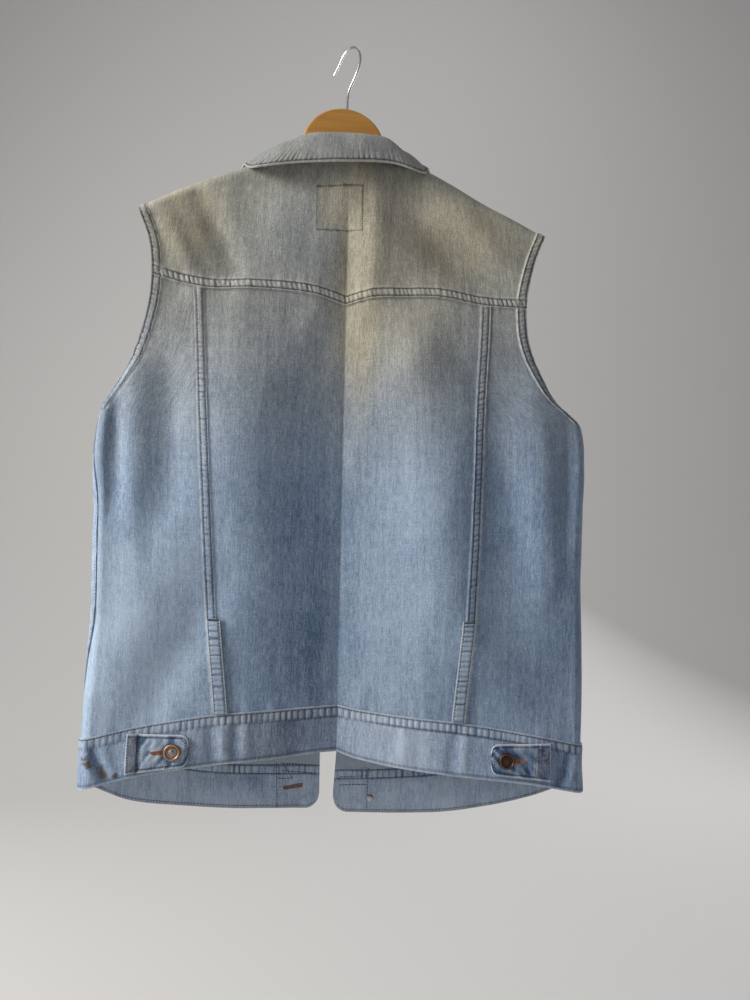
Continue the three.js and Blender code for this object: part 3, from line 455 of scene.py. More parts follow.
def back_relief(x, z):
    """How far the outer face of the back panels stands off their surface."""
    s, a = side_of(x), np.abs(x)
    below = yoke_seam_z(s, a) - z  # below the yoke seam this is above 0
    seam = np.where(below > 0, 0, felled(-below, YOKE_FELL, x, 11))
    beside = drawn(np.where(below > 0, below, np.maximum(-below - YOKE_FELL, 0)), x, 12)
    w = centre_panel_x(s, z) - a  # inside the long seams this is above 0
    long_seam = np.where((below > 0) & (w > 0), felled(w, FELL_WIDTH, z, 13), 0)
    along_long = np.where(below > 0, drawn(np.where(w > 0, np.maximum(w - FELL_WIDTH, 0), -w), z, 14), 0)
    w = armhole_inset(s, x, z)
    open_edge = eased(ARMPIT, ARMPIT + 8, z)
    hem = open_edge * felled(w, ARM_HEM, z, 15 + s)
    by_hem = open_edge * drawn(np.maximum(w - ARM_HEM, 0), z, 18 + s)
    w = z - back_band_z(s, a)
    by_band = drawn(w, x, 21, reach=11, height=0.6)
    soft = 0.5 * crumple(x, z, 34, 52, 22) + 0.22 * crumple(x, z, 13, 21, 23)
    return np.maximum(np.maximum(seam, long_seam), hem) + beside + along_long + by_hem + by_band + soft


print("relief at the yoke seam:", float(back_relief(60.0, -296.0).round(2)))

# %% [markdown]
# ## A ply of cloth
# A sheet with no thickness looks like paper at its edges, so every ply is a closed wall: an outer face, an
# inner face behind it, and a rim. Blender's Solidify modifier could add the second face, but it can't keep an
# inner face smooth under a puckered outer one. Building both from one grid does, and it also gives each
# vertex its place in the flat cut, which the weave follows, and its wear.

# %% Lay a ply on a surface
MM = 0.001
OPEN = 0.002  # share of a surface over which its slope is taken


def outward(point, u, v, us, vs, turn):
    """Direction out of a surface. us and vs are its limits."""
    du, dv = (us[1] - us[0]) * OPEN, (vs[1] - vs[0]) * OPEN
    along_u = point(np.minimum(u + du, us[1]), v) - point(np.maximum(u - du, us[0]), v)
    along_v = point(u, np.minimum(v + dv, vs[1])) - point(u, np.maximum(v - dv, vs[0]))
    out = np.cross(along_u, along_v) * turn
    return out / np.maximum(np.linalg.norm(out, axis=-1, keepdims=True), 1e-9)


def grid_faces(nu, nv, turn):
    """Faces of a closed wall: outer grid, inner grid and rim."""
    at = np.arange(nu * nv).reshape(nv, nu)
    a, b, c, d = at[:-1, :-1], at[:-1, 1:], at[1:, 1:], at[1:, :-1]
    outer = np.stack([a, b, c, d], -1).reshape(-1, 4)
    inner = np.stack([a, d, c, b], -1).reshape(-1, 4) + nu * nv
    rim = []
    for line, flip in ((at[0], 1), (at[-1], -1), (at[:, 0], -1), (at[:, -1], 1)):
        p, q = line[:-1], line[1:]
        n = nu * nv
        rim.append(np.stack([q, p, p + n, q + n] if flip > 0 else [p, q, q + n, p + n], -1))
    faces = np.concatenate([outer, inner, *rim])
    return faces if turn > 0 else faces[:, ::-1]


def hung(points):
    """Points of the vest in millimetres, in the frame and in metres."""
    return (np.asarray(points, float) + [OFF_CENTRE, 0, 0]) * MM


def mesh_piece(name, points, faces, materials):
    """A mesh object from numpy arrays."""
    mesh = bpy.data.meshes.new(name)
    mesh.from_pydata(points.tolist(), [], faces.tolist())
    mesh.shade_smooth()
    for material in materials:
        mesh.materials.append(material)
    piece = bpy.data.objects.new(name, mesh)
    bpy.context.scene.collection.objects.link(piece)
    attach(piece, "root")
    return piece


def lay_ply(name, point, us, vs, lift, sink, material, turn=1, limits=None, state=None, folded=False):
    """A ply of cloth on a surface. lift and sink are functions of the grid, and state gives each vertex its
    wear. A folded ply has the cloth's right side on both faces."""
    u, v = np.meshgrid(np.asarray(us, float), np.asarray(vs, float))
    at = point(u, v)
    out = outward(point, u, v, limits or (us[0], us[-1]), (vs[0], vs[-1]), turn)
    outer, inner = at + out * lift(u, v)[..., None], at - out * sink(u, v)[..., None]
    nv, nu = u.shape
    points = np.concatenate([outer.reshape(-1, 3), inner.reshape(-1, 3)])
    piece = mesh_piece(name, hung(points), grid_faces(nu, nv, turn), [material])
    mesh = piece.data
    mesh.set_sharp_from_angle(angle=math.radians(50))
    # The flat cut: distance along the rows and down the columns, in metres.
    across = np.cumsum(np.linalg.norm(np.diff(at, axis=1, prepend=at[:, :1]), axis=-1), axis=1)
    across -= across[:, nu // 2][:, None]
    down = -np.cumsum(np.linalg.norm(np.diff(at, axis=0, prepend=at[:1]), axis=-1), axis=0)
    cut = np.stack([across, down], -1).reshape(-1, 2) * MM
    layer = mesh.uv_layers.new(name="cut")
    corners = np.empty(len(mesh.loops), np.int32)
    mesh.loops.foreach_get("vertex_index", corners)
    layer.uv.foreach_set("vector", np.concatenate([cut, cut])[corners].astype(np.float32).ravel())
    values = state(at[..., 0], at[..., 2]) if state else {}
    for key in ("worn", "deep", "yellowed", "stained", "faded"):
        one = np.broadcast_to(np.asarray(values.get(key, 0.0), float), u.shape).reshape(-1)
        attribute = mesh.attributes.new(key, "FLOAT", "POINT")
        attribute.data.foreach_set("value", np.concatenate([one, one]).astype(np.float32))
    wrong = mesh.attributes.new("wrong_side", "FLOAT", "POINT")
    wrong.data.foreach_set("value", np.repeat([0.0, 0.0 if folded else 1.0], nu * nv).astype(np.float32))
    area = float(
        np.linalg.norm(np.cross(at[1:, 1:] - at[:-1, :-1], at[1:, :-1] - at[:-1, 1:]), axis=-1).sum() / 2
    )
    print(f"{name}: {len(mesh.polygons)} faces, area {area * MM * MM:.4f} m2")
    return piece


def flat(value):
    """The same height all over a grid."""
    return lambda u, v: np.full(np.shape(u), float(value))


print("a ply has five kinds of wear and a wrong side")

# %% [markdown]
# ## Denim
# Denim is a twill: indigo warp threads over white weft. Washing has taken most of the dye. Seen close, it
# shows fine upright streaks where the warp is thick or thin (slub), a diagonal twill line, and specks of
# white weft. Seen from further off, it fades in soft patches, turns pale along worn ridges and is darker in
# the valleys of the puckers. An image would be the easy way; here noise that is stretched along the warp
# does it, so it holds at any size. Some paler and darker patches, dark lines under the edges of seams, and
# the colour of the band's folds are painted light and painted shade.

# %% Material helpers
def material_tree(name):
    """A new node material, with its node tree and its shader."""
    material = bpy.data.materials.new(name)
    material.use_nodes = True
    tree = material.node_tree
    return material, tree, tree.nodes["Principled BSDF"]


def node(tree, kind, inputs=(), **settings):
    """A node with its settings and inputs. An input is a value, or another node's output."""
    made = tree.nodes.new(kind)
    for key, value in settings.items():
        setattr(made, key, value)
    for key, value in dict(inputs).items():
        if isinstance(value, bpy.types.NodeSocket):
            tree.links.new(value, made.inputs[key])
        else:
            made.inputs[key].default_value = value
    return made


def calc(tree, operation, a, b=0.0, clamp=False):
    """One sum on two values."""
    return node(tree, "ShaderNodeMath", {0: a, 1: b}, operation=operation, use_clamp=clamp).outputs[0]


def blend(tree, share, a, b, mode="MIX"):
    """Two colours mixed by a share."""
    mixed = node(tree, "ShaderNodeMix", data_type="RGBA", blend_type=mode)
    for key, value in ((0, share), (6, a), (7, b)):
        if isinstance(value, bpy.types.NodeSocket):
            tree.links.new(value, mixed.inputs[key])
        else:
            mixed.inputs[key].default_value = value
    return mixed.outputs[2]


def stretch(tree, value, low, high, to_low=0.0, to_high=1.0):
    """A value from one range to another, held at both ends."""
    made = node(tree, "ShaderNodeMapRange", {0: value, 1: low, 2: high, 3: to_low, 4: to_high})
    return made.outputs[0]


def shade(red, green, blue):
    """A colour from its sRGB values of 0 to 255."""
    def linear(c):
        c /= 255
        return c / 12.92 if c <= 0.04045 else ((c + 0.055) / 1.055) ** 2.4

    return (linear(red), linear(green), linear(blue), 1.0)


def noise_on(tree, place, scale, along, detail=2.0, rough=0.5):
    """Noise on a place, squeezed by scale across and by along in length."""
    squeezed = node(tree, "ShaderNodeMapping", {"Vector": place, "Scale": (scale, along, 1.0)}).outputs[0]
    made = node(
        tree, "ShaderNodeTexNoise", {"Vector": squeezed, "Scale": 1.0, "Detail": detail, "Roughness": rough}
    )
    return made.outputs["Fac"]


def attribute(tree, name):
    return node(tree, "ShaderNodeAttribute", attribute_name=name).outputs["Fac"]


print("material helpers ready")

# %% Washed denim
AGED = dict(pale=shade(214, 206, 184), mid=shade(158, 153, 136), dark=shade(104, 104, 100))
WHITE = dict(fresh=shade(204, 210, 214), aged=shade(212, 206, 190))  # weft that shows where the dye is gone
# The first of these is the dark blue of the darker places; in some of them it is painted shade.
INDIGO_AND_SHADE, STAIN, WRONG_SIDE = shade(58, 68, 86), shade(84, 68, 54), shade(186, 193, 200)
TWILL_TURN = -28.0  # of the twill line, in degrees


def washed_denim(name, pale, mid, dark, yellow=1.0):
    """Light-washed denim in three tones of its dye. Where it is yellowed, the tones are those of AGED.
    Some of its paler and darker tones are painted light and painted shade.
    """
    material, tree, shader = material_tree(name)
    cut = node(tree, "ShaderNodeUVMap", uv_map="cut").outputs[0]
    place = node(tree, "ShaderNodeTexCoord").outputs["Object"]
    slub = noise_on(tree, cut, 640, 105, 3, 0.6)
    thick = noise_on(tree, cut, 230, 14, 2, 0.5)
    weft = noise_on(tree, cut, 45, 760, 2, 0.5)
    specks = noise_on(tree, cut, 900, 420, 1, 0.5)
    patches = node(
        tree, "ShaderNodeTexNoise", {"Vector": place, "Scale": 9.0, "Detail": 4.0, "Roughness": 0.6}
    ).outputs["Fac"]
    bleach = node(
        tree, "ShaderNodeTexNoise", {"Vector": place, "Scale": 38.0, "Detail": 3.0, "Roughness": 0.6}
    ).outputs["Fac"]
    turn = (0, 0, math.radians(TWILL_TURN))
    bias = node(tree, "ShaderNodeMapping", {"Vector": cut, "Rotation": turn}).outputs[0]
    twill = node(
        tree, "ShaderNodeTexWave", {"Vector": bias, "Scale": 175.0, "Distortion": 1.2, "Detail": 1.0},
        bands_direction="X",
    ).outputs["Fac"]
    tone = calc(tree, "MULTIPLY", stretch(tree, slub, 0.3, 0.7), 0.36)
    shares = (
        (thick, 0.3, 0.7, 0.16), (weft, 0.3, 0.7, 0.10), (specks, 0.42, 0.72, 0.22),
        (patches, 0.3, 0.7, 0.16), (bleach, 0.35, 0.7, 0.10), (twill, 0, 1, 0.03),
    )
    for source, low, high, amount in shares:
        tone = calc(tree, "ADD", tone, calc(tree, "MULTIPLY", stretch(tree, source, low, high), amount))
    # The two lines below make the tone paler and darker by attributes which hold, in places, painted light and
    # painted shade.
    tone = calc(tree, "ADD", tone, calc(tree, "MULTIPLY", attribute(tree, "faded"), 0.8))
    tone = calc(tree, "SUBTRACT", tone, calc(tree, "MULTIPLY", attribute(tree, "deep"), 0.6), clamp=True)
    cast = calc(tree, "MULTIPLY", attribute(tree, "yellowed"), yellow)
    pairs = ((dark, AGED["dark"]), (mid, AGED["mid"]), (pale, AGED["pale"]))
    tones = [blend(tree, cast, fresh, aged) for fresh, aged in pairs]
    dyed = blend(tree, stretch(tree, tone, 0.0, 0.45), tones[0], tones[1])
    dyed = blend(tree, stretch(tree, tone, 0.45, 0.95), dyed, tones[2])
    worn = calc(
        tree, "MULTIPLY", attribute(tree, "worn"), stretch(tree, slub, 0.2, 0.6, 0.55, 1.0), clamp=True
    )
    # Where it is darker, dark blue is mixed in: in places this is painted shade, under the edges of seams and
    # in the troughs of the band's folds.
    dyed = blend(
        tree, calc(tree, "MULTIPLY", attribute(tree, "deep"), 0.6, clamp=True), dyed, INDIGO_AND_SHADE
    )
    dyed = blend(tree, worn, dyed, blend(tree, cast, WHITE["fresh"], WHITE["aged"]))
    dyed = blend(tree, attribute(tree, "stained"), dyed, STAIN)
    inside = calc(tree, "MULTIPLY", attribute(tree, "wrong_side"), 0.55)
    dyed = blend(tree, inside, dyed, WRONG_SIDE)
    tree.links.new(dyed, shader.inputs["Base Color"])
    height = calc(tree, "ADD", calc(tree, "MULTIPLY", slub, 0.7), calc(tree, "MULTIPLY", twill, 0.15))
    height = calc(tree, "ADD", height, calc(tree, "MULTIPLY", weft, 0.35))
    bump = node(tree, "ShaderNodeBump", {"Height": height, "Strength": 0.55, "Distance": 0.0006}).outputs[0]
    tree.links.new(bump, shader.inputs["Normal"])
    shader.inputs["Roughness"].default_value = 0.92
    shader.inputs["Specular IOR Level"].default_value = 0.2
    shader.inputs["Sheen Weight"].default_value = 0.12
    shader.inputs["Sheen Roughness"].default_value = 0.5
    return material


body_denim = washed_denim("body_denim", shade(182, 200, 221), shade(133, 153, 177), shade(80, 100, 130))
band_denim = washed_denim(
    "band_denim", shade(190, 205, 224), shade(134, 153, 179), shade(80, 98, 128), yellow=0.6
)
tab_denim = washed_denim(
    "tab_denim", shade(176, 190, 206), shade(100, 124, 156), shade(50, 72, 110), yellow=0.3
)
print("denims:", body_denim.name, band_denim.name, tab_denim.name)

# %% Wear of the cloth
# Soft patches that are paler (above 0) or darker (below 0), with their half widths and half heights. They
# are partly faded dye and partly painted light and painted shade: the lit right flank and the shaded left
# flank of the centre crease, the shaded right side panel, and shaded patches by the folds on the yoke.
FADE_LIGHT_AND_SHADE = table(
    "x z wide tall faded",
    (68, -520, 44, 260, 0.16), (-42, -560, 38, 250, -0.34), (182, -480, 58, 200, -0.2),
    (-215, -690, 55, 110, 0.4), (-150, -520, 40, 170, 0.1), (84, -240, 42, 42, -0.12),
    (-190, -235, 16, 40, -0.06), (12, -300, 15, 130, 0.22), (235, -640, 28, 130, -0.16),
    (-120, -205, 40, 26, 0.06), (-238, -660, 14, 100, 0.16), (-95, -700, 34, 60, -0.18),
    (88, -200, 26, 14, 0.1), (110, -380, 34, 50, -0.14), (146, -262, 26, 24, -0.14),
    (40, -690, 30, 60, 0.12), (160, -720, 46, 34, -0.14), (-26, -690, 16, 90, -0.22),
    (100, -560, 22, 190, 0.12), (-190, -650, 28, 60, 0.14), (-247, -446, 10, 40, -0.35),
    (98, -250, 30, 24, -0.14), (-182, -280, 24, 20, -0.2),
)
# Soft patches that are yellowed.
AGED_AT = table(
    "x z wide tall share",
    (14, -300, 20, 140, 0.5), (-176, -220, 34, 60, 0.3), (120, -225, 60, 50, 0.25), (60, -350, 60, 70, 0.2),
    (-60, -235, 60, 60, -0.2),
)
LABEL = [(-36, -178), (15, -174), (16, -225), (-35, -228)]  # corners of the stitched rectangle on the yoke
LABEL_DARK = (0.9, 0.5, 0.6, 0.2)  # how dark its top, right, bottom and left sides are


def soft_patches(patches, key, x, z):
    """Sum of the soft patches of a table at a place."""
    rows = zip(*(patches[column] for column in ("x", "z", "wide", "tall", key)))
    return sum(amount * bell((x - px) / wide) * bell((z - pz) / tall) for px, pz, wide, tall, amount in rows)


def from_line(x, z, a, b):
    """Distance of a place from a straight line between two others."""
    dx, dz = b[0] - a[0], b[1] - a[1]
    t = np.clip(((x - a[0]) * dx + (z - a[1]) * dz) / (dx * dx + dz * dz), 0, 1)
    return np.hypot(x - a[0] - t * dx, z - a[1] - t * dz)


def cloth_state(x, z):
    """Where the dye is worn off, where the cloth is paler or darker, and where it is yellowed, over the back
    of the vest. Some of the paler and darker places are painted light and painted shade.
    """
    s, a = side_of(x), np.abs(x)
    below = yoke_seam_z(s, a) - z
    seams = []
    w = -below
    seams.append((w, YOKE_FELL, x, 11, (w > -3) & (w < YOKE_FELL + 3), 1.0, 0.75, 0.5))
    w = centre_panel_x(s, z) - a
    seams.append((w, FELL_WIDTH, z, 13, (below > 0) & (w > -3) & (w < FELL_WIDTH + 3), 0.9, 1.0, 0.3))
    w = armhole_inset(s, x, z)
    seams.append((w, ARM_HEM, z, 15 + s, (z > ARMPIT) & (w < ARM_HEM + 3), 0.4, 0.3, 0.9))
    worn, deep = 0.0, 0.0
    for w, width, along, seed, on, rungs, outer, inner in seams:
        varied = rungs * (0.75 + 0.35 * ripple(along, 31, seed + 60))
        height, middle = ladder(along + 0.3 * w, RUNG, seed), varied * between_rows(w, width)
        edges = inner * bell((w - width - 0.6) / 1.2) + outer * bell(w / 1.2)
        rubbed = 0.45 * middle * np.maximum(height, 0) + edges * (0.65 + 0.35 * ripple(along, 2.6, seed + 40))
        worn = worn + on * rubbed
        rows = bell((w - STITCH_IN) / 0.9) + bell((w - width + STITCH_IN) / 0.9)
        # Darker in the valleys of the puckers and at the rows; the last term is a painted shadow just outside
        # each seam's free edge, under the edge.
        deep = deep + on * (middle * np.maximum(-height, 0) + 0.8 * rows + 0.35 * bell((w + 1.4) / 0.9))
    for k, dark in enumerate(LABEL_DARK):
        broken = 0.6 + 0.4 * ripple(x + z, 3.4, 46 + k)
        deep = deep + dark * broken * bell(from_line(x, z, LABEL[k], LABEL[(k + 1) % 4]) / 0.7)
    bleached = bell((x + 126) / 24) * bell((-below - 6) / 5) * eased(0.1, 0.5, crumple(x, z, 1.6, 1.6, 41))
    bleached = (
        bleached
        + 0.7 * bell((x + 92) / 16) * bell((z + 168) / 7) * eased(0.2, 0.6, crumple(x, z, 2.2, 2.2, 42))
    )
    inside = (x > LABEL[0][0]) & (x < LABEL[1][0]) & (z > LABEL[2][1]) & (z < LABEL[1][1])
    yellowed = 0.82 * eased(-560, -225, z) + soft_patches(AGED_AT, "share", x, z) + 0.15 * inside
    # The patches of the table add painted light and painted shade to the tone, besides faded dye.
    faded = (
        soft_patches(FADE_LIGHT_AND_SHADE, "faded", x, z) + 0.05 * crumple(x, z, 17, 46, 43) + 0.05 * crumple(x, z, 6, 30, 44)
    )
    return dict(
        worn=np.clip(worn + bleached, 0, 1), deep=np.clip(deep, 0, 1), yellowed=np.clip(yellowed, 0, 1),
        faded=faded,
    )


print("wear at the yoke seam:", {k: float(np.round(v, 2)) for k, v in cloth_state(60.0, -296.0).items()})

# %% [markdown]
# ## The back: yoke, centre panel and two side panels
# A maker cuts a yoke, a long centre panel and two side panels, sews the long seams first and then joins the
# yoke with a felled seam that turns down to a point. The grid of each piece is finer across its seams, where
# the puckers need it, and coarser in the open cloth.

# %% Columns and rows
def even(start, end, step):
    """Values from start to end, about step apart."""
    count = max(1, int(round(abs(end - start) / step)))
    return np.linspace(start, end, count + 1)


def mirrored(values):
    """The same values on both sides of 0."""
    return np.concatenate([-values[:0:-1], values])


def joined(*runs):
    """Runs of values, one after the other, without the doubled ends."""
    return np.concatenate([runs[0]] + [run[1:] for run in runs[1:]])


def round_off(start, count):
    """Shares from start to 1, closer together where the cloth turns away round a side."""
    t = np.linspace(0, 1, count)
    return start + (1 - start) * (0.5 * t + 0.5 * np.arcsin(t) * 2 / np.pi)


FINE, COARSE = 1.2, 3.0  # distance between columns at a seam and in the open cloth
half_panel, half_fell = 160.0, 14.0  # of the centre panel at its top, and of the fine columns at its seams
panel_u = U_PANEL / half_panel
inner_columns = joined(
    even(0, 6 * panel_u, FINE * panel_u),
    even(6 * panel_u, (half_panel - half_fell) * panel_u, COARSE * panel_u),
)
fell_columns = even((half_panel - half_fell) * panel_u, U_PANEL, FINE * panel_u)
side_flat = even(U_PANEL, U_ROUND, 2 * FINE * (U_ROUND - U_PANEL) / 95)
side_turn = round_off(U_ROUND, 19)
fine_columns = joined(
    even(0, U_PANEL, FINE * panel_u), even(U_PANEL, U_ROUND, FINE * (U_ROUND - U_PANEL) / 95), side_turn
)
print("columns of half the back:", len(fine_columns))

# %% The yoke
def yoke_point(u, v):
    """v is 0 to 1 over the rounding of the shoulder, 1 to 2 over the hanging part, 2 to 3 over the fell."""
    top = back_meets(u, back_top, -150)
    seam = back_meets(u, yoke_seam_z, -300) + SEAM_GAP / 2
    hang = top - RIDGE_ROUND
    over = top - RIDGE_ROUND * (1 - np.cos(np.clip(v, 0, 1) * np.pi / 2))
    z = np.where(
        v <= 1, over,
        np.where(v <= 2, lerp(hang, seam + YOKE_FELL, v - 1), lerp(seam + YOKE_FELL, seam, v - 2)),
    )
    return back_point(u, z)


def by_place(point, relief):
    """A lift that depends on x and z alone, for the points of one surface."""
    def lift(u, v):
        at = point(u, v)
        return relief(at[..., 0], at[..., 2])

    return lift


yoke = lay_ply(
    "yoke", yoke_point, mirrored(fine_columns),
    joined(np.linspace(0, 1, 10), np.linspace(1, 2, 58), np.linspace(2, 3, 13)),
    by_place(yoke_point, back_relief), flat(CLOTH), body_denim, turn=-1, state=cloth_state,
)
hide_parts("back_yoke")

# %% The centre and side panels
def panel_point(u, v):
    top = back_meets(u, yoke_seam_z, -300) - SEAM_GAP / 2
    bottom = back_meets(u, back_band_z, -780) + SEAM_GAP / 2
    return back_point(u, lerp(top, bottom, v))


def panel(name, node_name, columns, rows, nudge):
    """A panel between two columns. nudge moves its seam edges apart by the seam's clearance."""
    def point(u, v):
        at = panel_point(u, v)
        at[..., 0] += np.where(np.isclose(np.abs(u), U_PANEL), nudge * np.sign(u), 0)
        return at

    piece = lay_ply(name, point, columns, rows, by_place(point, back_relief), flat(CLOTH), body_denim,
                    turn=-1, limits=(-1, 1), state=cloth_state)
    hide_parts(node_name)
    return piece


centre_columns = mirrored(joined(inner_columns, fell_columns))
centre_panel = panel("centre_panel", "back_centre_panel", centre_columns, even(0, 1, 0.0038), -SEAM_GAP / 2)
side_columns = joined(side_flat, side_turn)
side_rows = joined(even(0, 0.33, 0.0026), even(0.33, 1, 0.005))
side_panels = [
    panel("side_panel_left", "back_side_panel_left", -side_columns[::-1], side_rows, SEAM_GAP / 2),
    panel("side_panel_right", "back_side_panel_right", side_columns, side_rows, SEAM_GAP / 2),
]

# %% The waistband at the back
BAND_ROWS = (2.2, 11.0)  # the two rows of stitches, from the band's upper edge
BAND_RUNG = 6.3


def stitched_strip(along, down, up, seed):
    """Relief of a folded strip, sewn on along its top. down and up are the distances from its two edges."""
    first, last = BAND_ROWS
    rows = bell((down - first) / 0.8) + bell((down - last) / 0.8)
    ends = np.sqrt(np.clip(np.minimum(down, up) / 1.4, 0, 1))
    rungs = 0.42 * between_rows(down, first + last) * ladder(along, BAND_RUNG, seed)
    loose = (
        0.4 * ripple(along, 4.6, seed + 2) * np.exp(-np.maximum(down - last, 0) / 6)
        * eased(last - 1, last + 2, down)
    )
    return -0.45 + 0.45 * ends - 0.42 * rows + rungs + loose


# Short upright folds in the band: where they cross its middle, how far they lean, half width and depth.
BAND_FOLDS = table(
    "x lean width depth",
    (-239, 0.45, 4.5, -2.6), (-247, 0.3, 4, 1.4), (-228, 0.4, 4, 1.0), (-128, 0.1, 5, -1.2),
    (-116, 0.05, 5, 1.3), (-104, 0.0, 5, -1.3), (-92, 0.05, 5, 1.0), (-45, 0.0, 9, -1.0),
    (70, -0.1, 8, 1.0), (120, -0.1, 7, -1.3), (133, -0.1, 6, 1.0), (241, -0.35, 5, -1.8),
    (250, -0.3, 4, 1.0),
)


def band_folds(x, z):
    """How far the short folds move the band's face: out above 0, in below it."""
    moved = 0.0
    for at, lean, width, depth in zip(*BAND_FOLDS.values()):
        middle = (back_band_z(side_of(x), np.abs(x)) + back_hem_z(side_of(x), np.abs(x))) / 2
        moved = moved + depth * bell((x - at - lean * (middle - z)) / width)
    return moved


def band_relief(x, z):
    """The band is a folded strip: stitched along its top and its hem, and slightly puffed in between."""
    s, a = side_of(x), np.abs(x)
    down, up = back_band_z(s, a) - z, z - back_hem_z(s, a)
    held = eased(BAND_ROWS[1] - 4, BAND_ROWS[1] + 6, down) * eased(0, 8, up)
    return (
        BAND_LIFT + stitched_strip(x, down, up, 31) + 0.5 * crumple(x, z, 20, 26, 33)
        + held * band_folds(x, z)
    )


def band_point(u, v):
    top = back_meets(u, back_band_z, -780) - SEAM_GAP / 2
    return back_point(u, lerp(top, back_meets(u, back_hem_z, -830), v))


def strip_wear(along, down, up, seed):
    """Wear of a stitched strip: pale at its edges and on its puckers, darker between them."""
    edges = bell(down / 1.3) + bell(up / 1.6)
    height = ladder(along, BAND_RUNG, seed) * between_rows(down, sum(BAND_ROWS))
    rows = bell((down - BAND_ROWS[0]) / 0.9) + bell((down - BAND_ROWS[1]) / 0.9)
    varied = 0.7 + 0.4 * ripple(along, 27, seed + 6)
    worn = 0.8 * edges * (0.75 + 0.25 * ripple(along, 3, seed + 5)) + 0.4 * varied * np.maximum(height, 0)
    return np.clip(worn, 0, 1), np.clip(varied * np.maximum(-height, 0) + 0.6 * rows, 0, 1)


STAINS = [  # where each brown spot is, and its half width and half height
    (-249, -796, 4.6, 4.6), (-245, -801, 3.4, 3.2), (-233, -805, 3.2, 6), (-230, -811, 4.6, 4),
    (-219, -810, 3.6, 3),
]


def band_state(x, z):
    s, a = side_of(x), np.abs(x)
    down, up = back_band_z(s, a) - z, z - back_hem_z(s, a)
    worn, deep = strip_wear(x, down, up, 31)
    stains = 0.0
    for sx, sz, wide, tall in STAINS:
        stains = stains + bell((x - sx) / wide) * bell((z - sz) / tall)
    stains = eased(0.25, 0.6, stains * (0.8 + 0.45 * crumple(x, z, 2.4, 2.4, 34)))
    # Darker from x -150 to 0, which is painted shade over a greyer tone; paler about x 78 and darker about x
    # 238.
    greyer_and_shaded = (
        0.3 * eased(-150, -60, x) * eased(15, -10, x) - 0.35 * bell((x - 78) / 62)
        + 0.3 * bell((x - 238) / 26)
    )
    # Darker in the troughs of the band's folds (this line) and paler on their ridges (next line): painted
    # shade and painted light.
    deep = np.clip(deep + 0.16 * np.maximum(-band_folds(x, z), 0) + 0.45 * bell((up - 3.2) / 1.2), 0, 1)
    faded = 0.12 * np.maximum(band_folds(x, z), 0) - greyer_and_shaded + 0.07 * crumple(x, z, 9, 24, 35)
    return dict(worn=worn, deep=deep, stained=0.85 * stains, faded=faded, yellowed=0.4 * bell((x + 70) / 80))


band = lay_ply(
    "waistband", band_point, mirrored(fine_columns),
    joined(np.linspace(0, 0.16, 8), np.linspace(0.16, 0.84, 17), np.linspace(0.84, 1, 8)),
    by_place(band_point, band_relief), flat(BAND_WALL - BAND_LIFT), band_denim, turn=-1,
    state=band_state, folded=True,
)
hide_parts("waistband_back")

# %% [markdown]
# ## The vents, the fronts and their plackets
# A narrow strip covers the lower end of each long seam. The fronts hang behind the back; only the inside of
# their lower band shows below the hem, but they are cut, hemmed and buttoned all the same, because the vest
# is seen from every side. Each is laid on the second surface, and a placket strip lies on it along the
# opening.

# %% The vents
VENT = dict(width=14.0, inset=7.6, top=-655.0, bottom=-755.0, above=1.5, thick=1.3)


def vent_point(s):
    def point(across, v):
        z = lerp(VENT["top"], back_band_z(s, centre_panel_x(s, VENT["bottom"])) + 1.2, v)
        return back_point(back_u(s * (centre_panel_x(s, z) - VENT["inset"] + across), z), z)

    return point


def vent_lift(s):
    def lift(across, v):
        z = vent_point(s)(across, v)[..., 2]
        edge = VENT["width"] / 2 - np.abs(across)
        rungs = 0.4 * between_rows(across + VENT["width"] / 2, VENT["width"]) * ladder(z, RUNG, 45 + s)
        row = bell((edge - 1.8) / 0.8)
        return (
            VENT["above"] + VENT["thick"] - 0.35 + 0.35 * np.sqrt(np.clip(edge / 1.2, 0, 1)) - 0.3 * row
            + rungs
        )

    return lift


def vent_state(s):
    def state(x, z):
        across = s * x - centre_panel_x(s, z) + VENT["inset"]
        edge = VENT["width"] / 2 - np.abs(across)
        height = ladder(z, RUNG, 45 + s) * eased(1, 3, edge)
        worn = 0.85 * bell(edge / 1.3) + 0.35 * np.maximum(height, 0)
        return dict(
            worn=np.clip(worn, 0, 1),
            deep=np.clip(0.8 * np.maximum(-height, 0) + 0.4 * bell((edge - 1.8) / 1), 0, 1),
        )

    return state


for s, name in ((-1, "left"), (1, "right")):
    across = even(-VENT["width"] / 2, VENT["width"] / 2, 0.8)
    vent = lay_ply(
        "vent_" + name, vent_point(s), across, np.linspace(0, 1, 84), vent_lift(s),
        flat(-VENT["above"]), body_denim, turn=-s, state=vent_state(s),
    )
    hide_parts("back_vent_" + name)

# %% The fronts
def front_panel_point(s):
    def point(a, v):
        """v is 0 to 1 over the shoulder, 1 to 2 down to the waistband."""
        top = front_meets(s, a, front_top, -150)
        bottom = front_meets(s, a, front_band_z, -785) + SEAM_GAP / 2
        over = top - RIDGE_ROUND * (1 - np.cos(np.clip(v, 0, 1) * np.pi / 2))
        return front_point(s, a, np.where(v <= 1, over, lerp(top - RIDGE_ROUND, bottom, v - 1)))

    return point


def side_inset(s, a, z):
    """Distance of a place from the side seam, round the side."""
    return (1 - np.clip((a - A_ROUND) / (1 - A_ROUND), 0, 1)) * np.radians(front_turn(s, 1.0, z)) * SIDE_ROUND


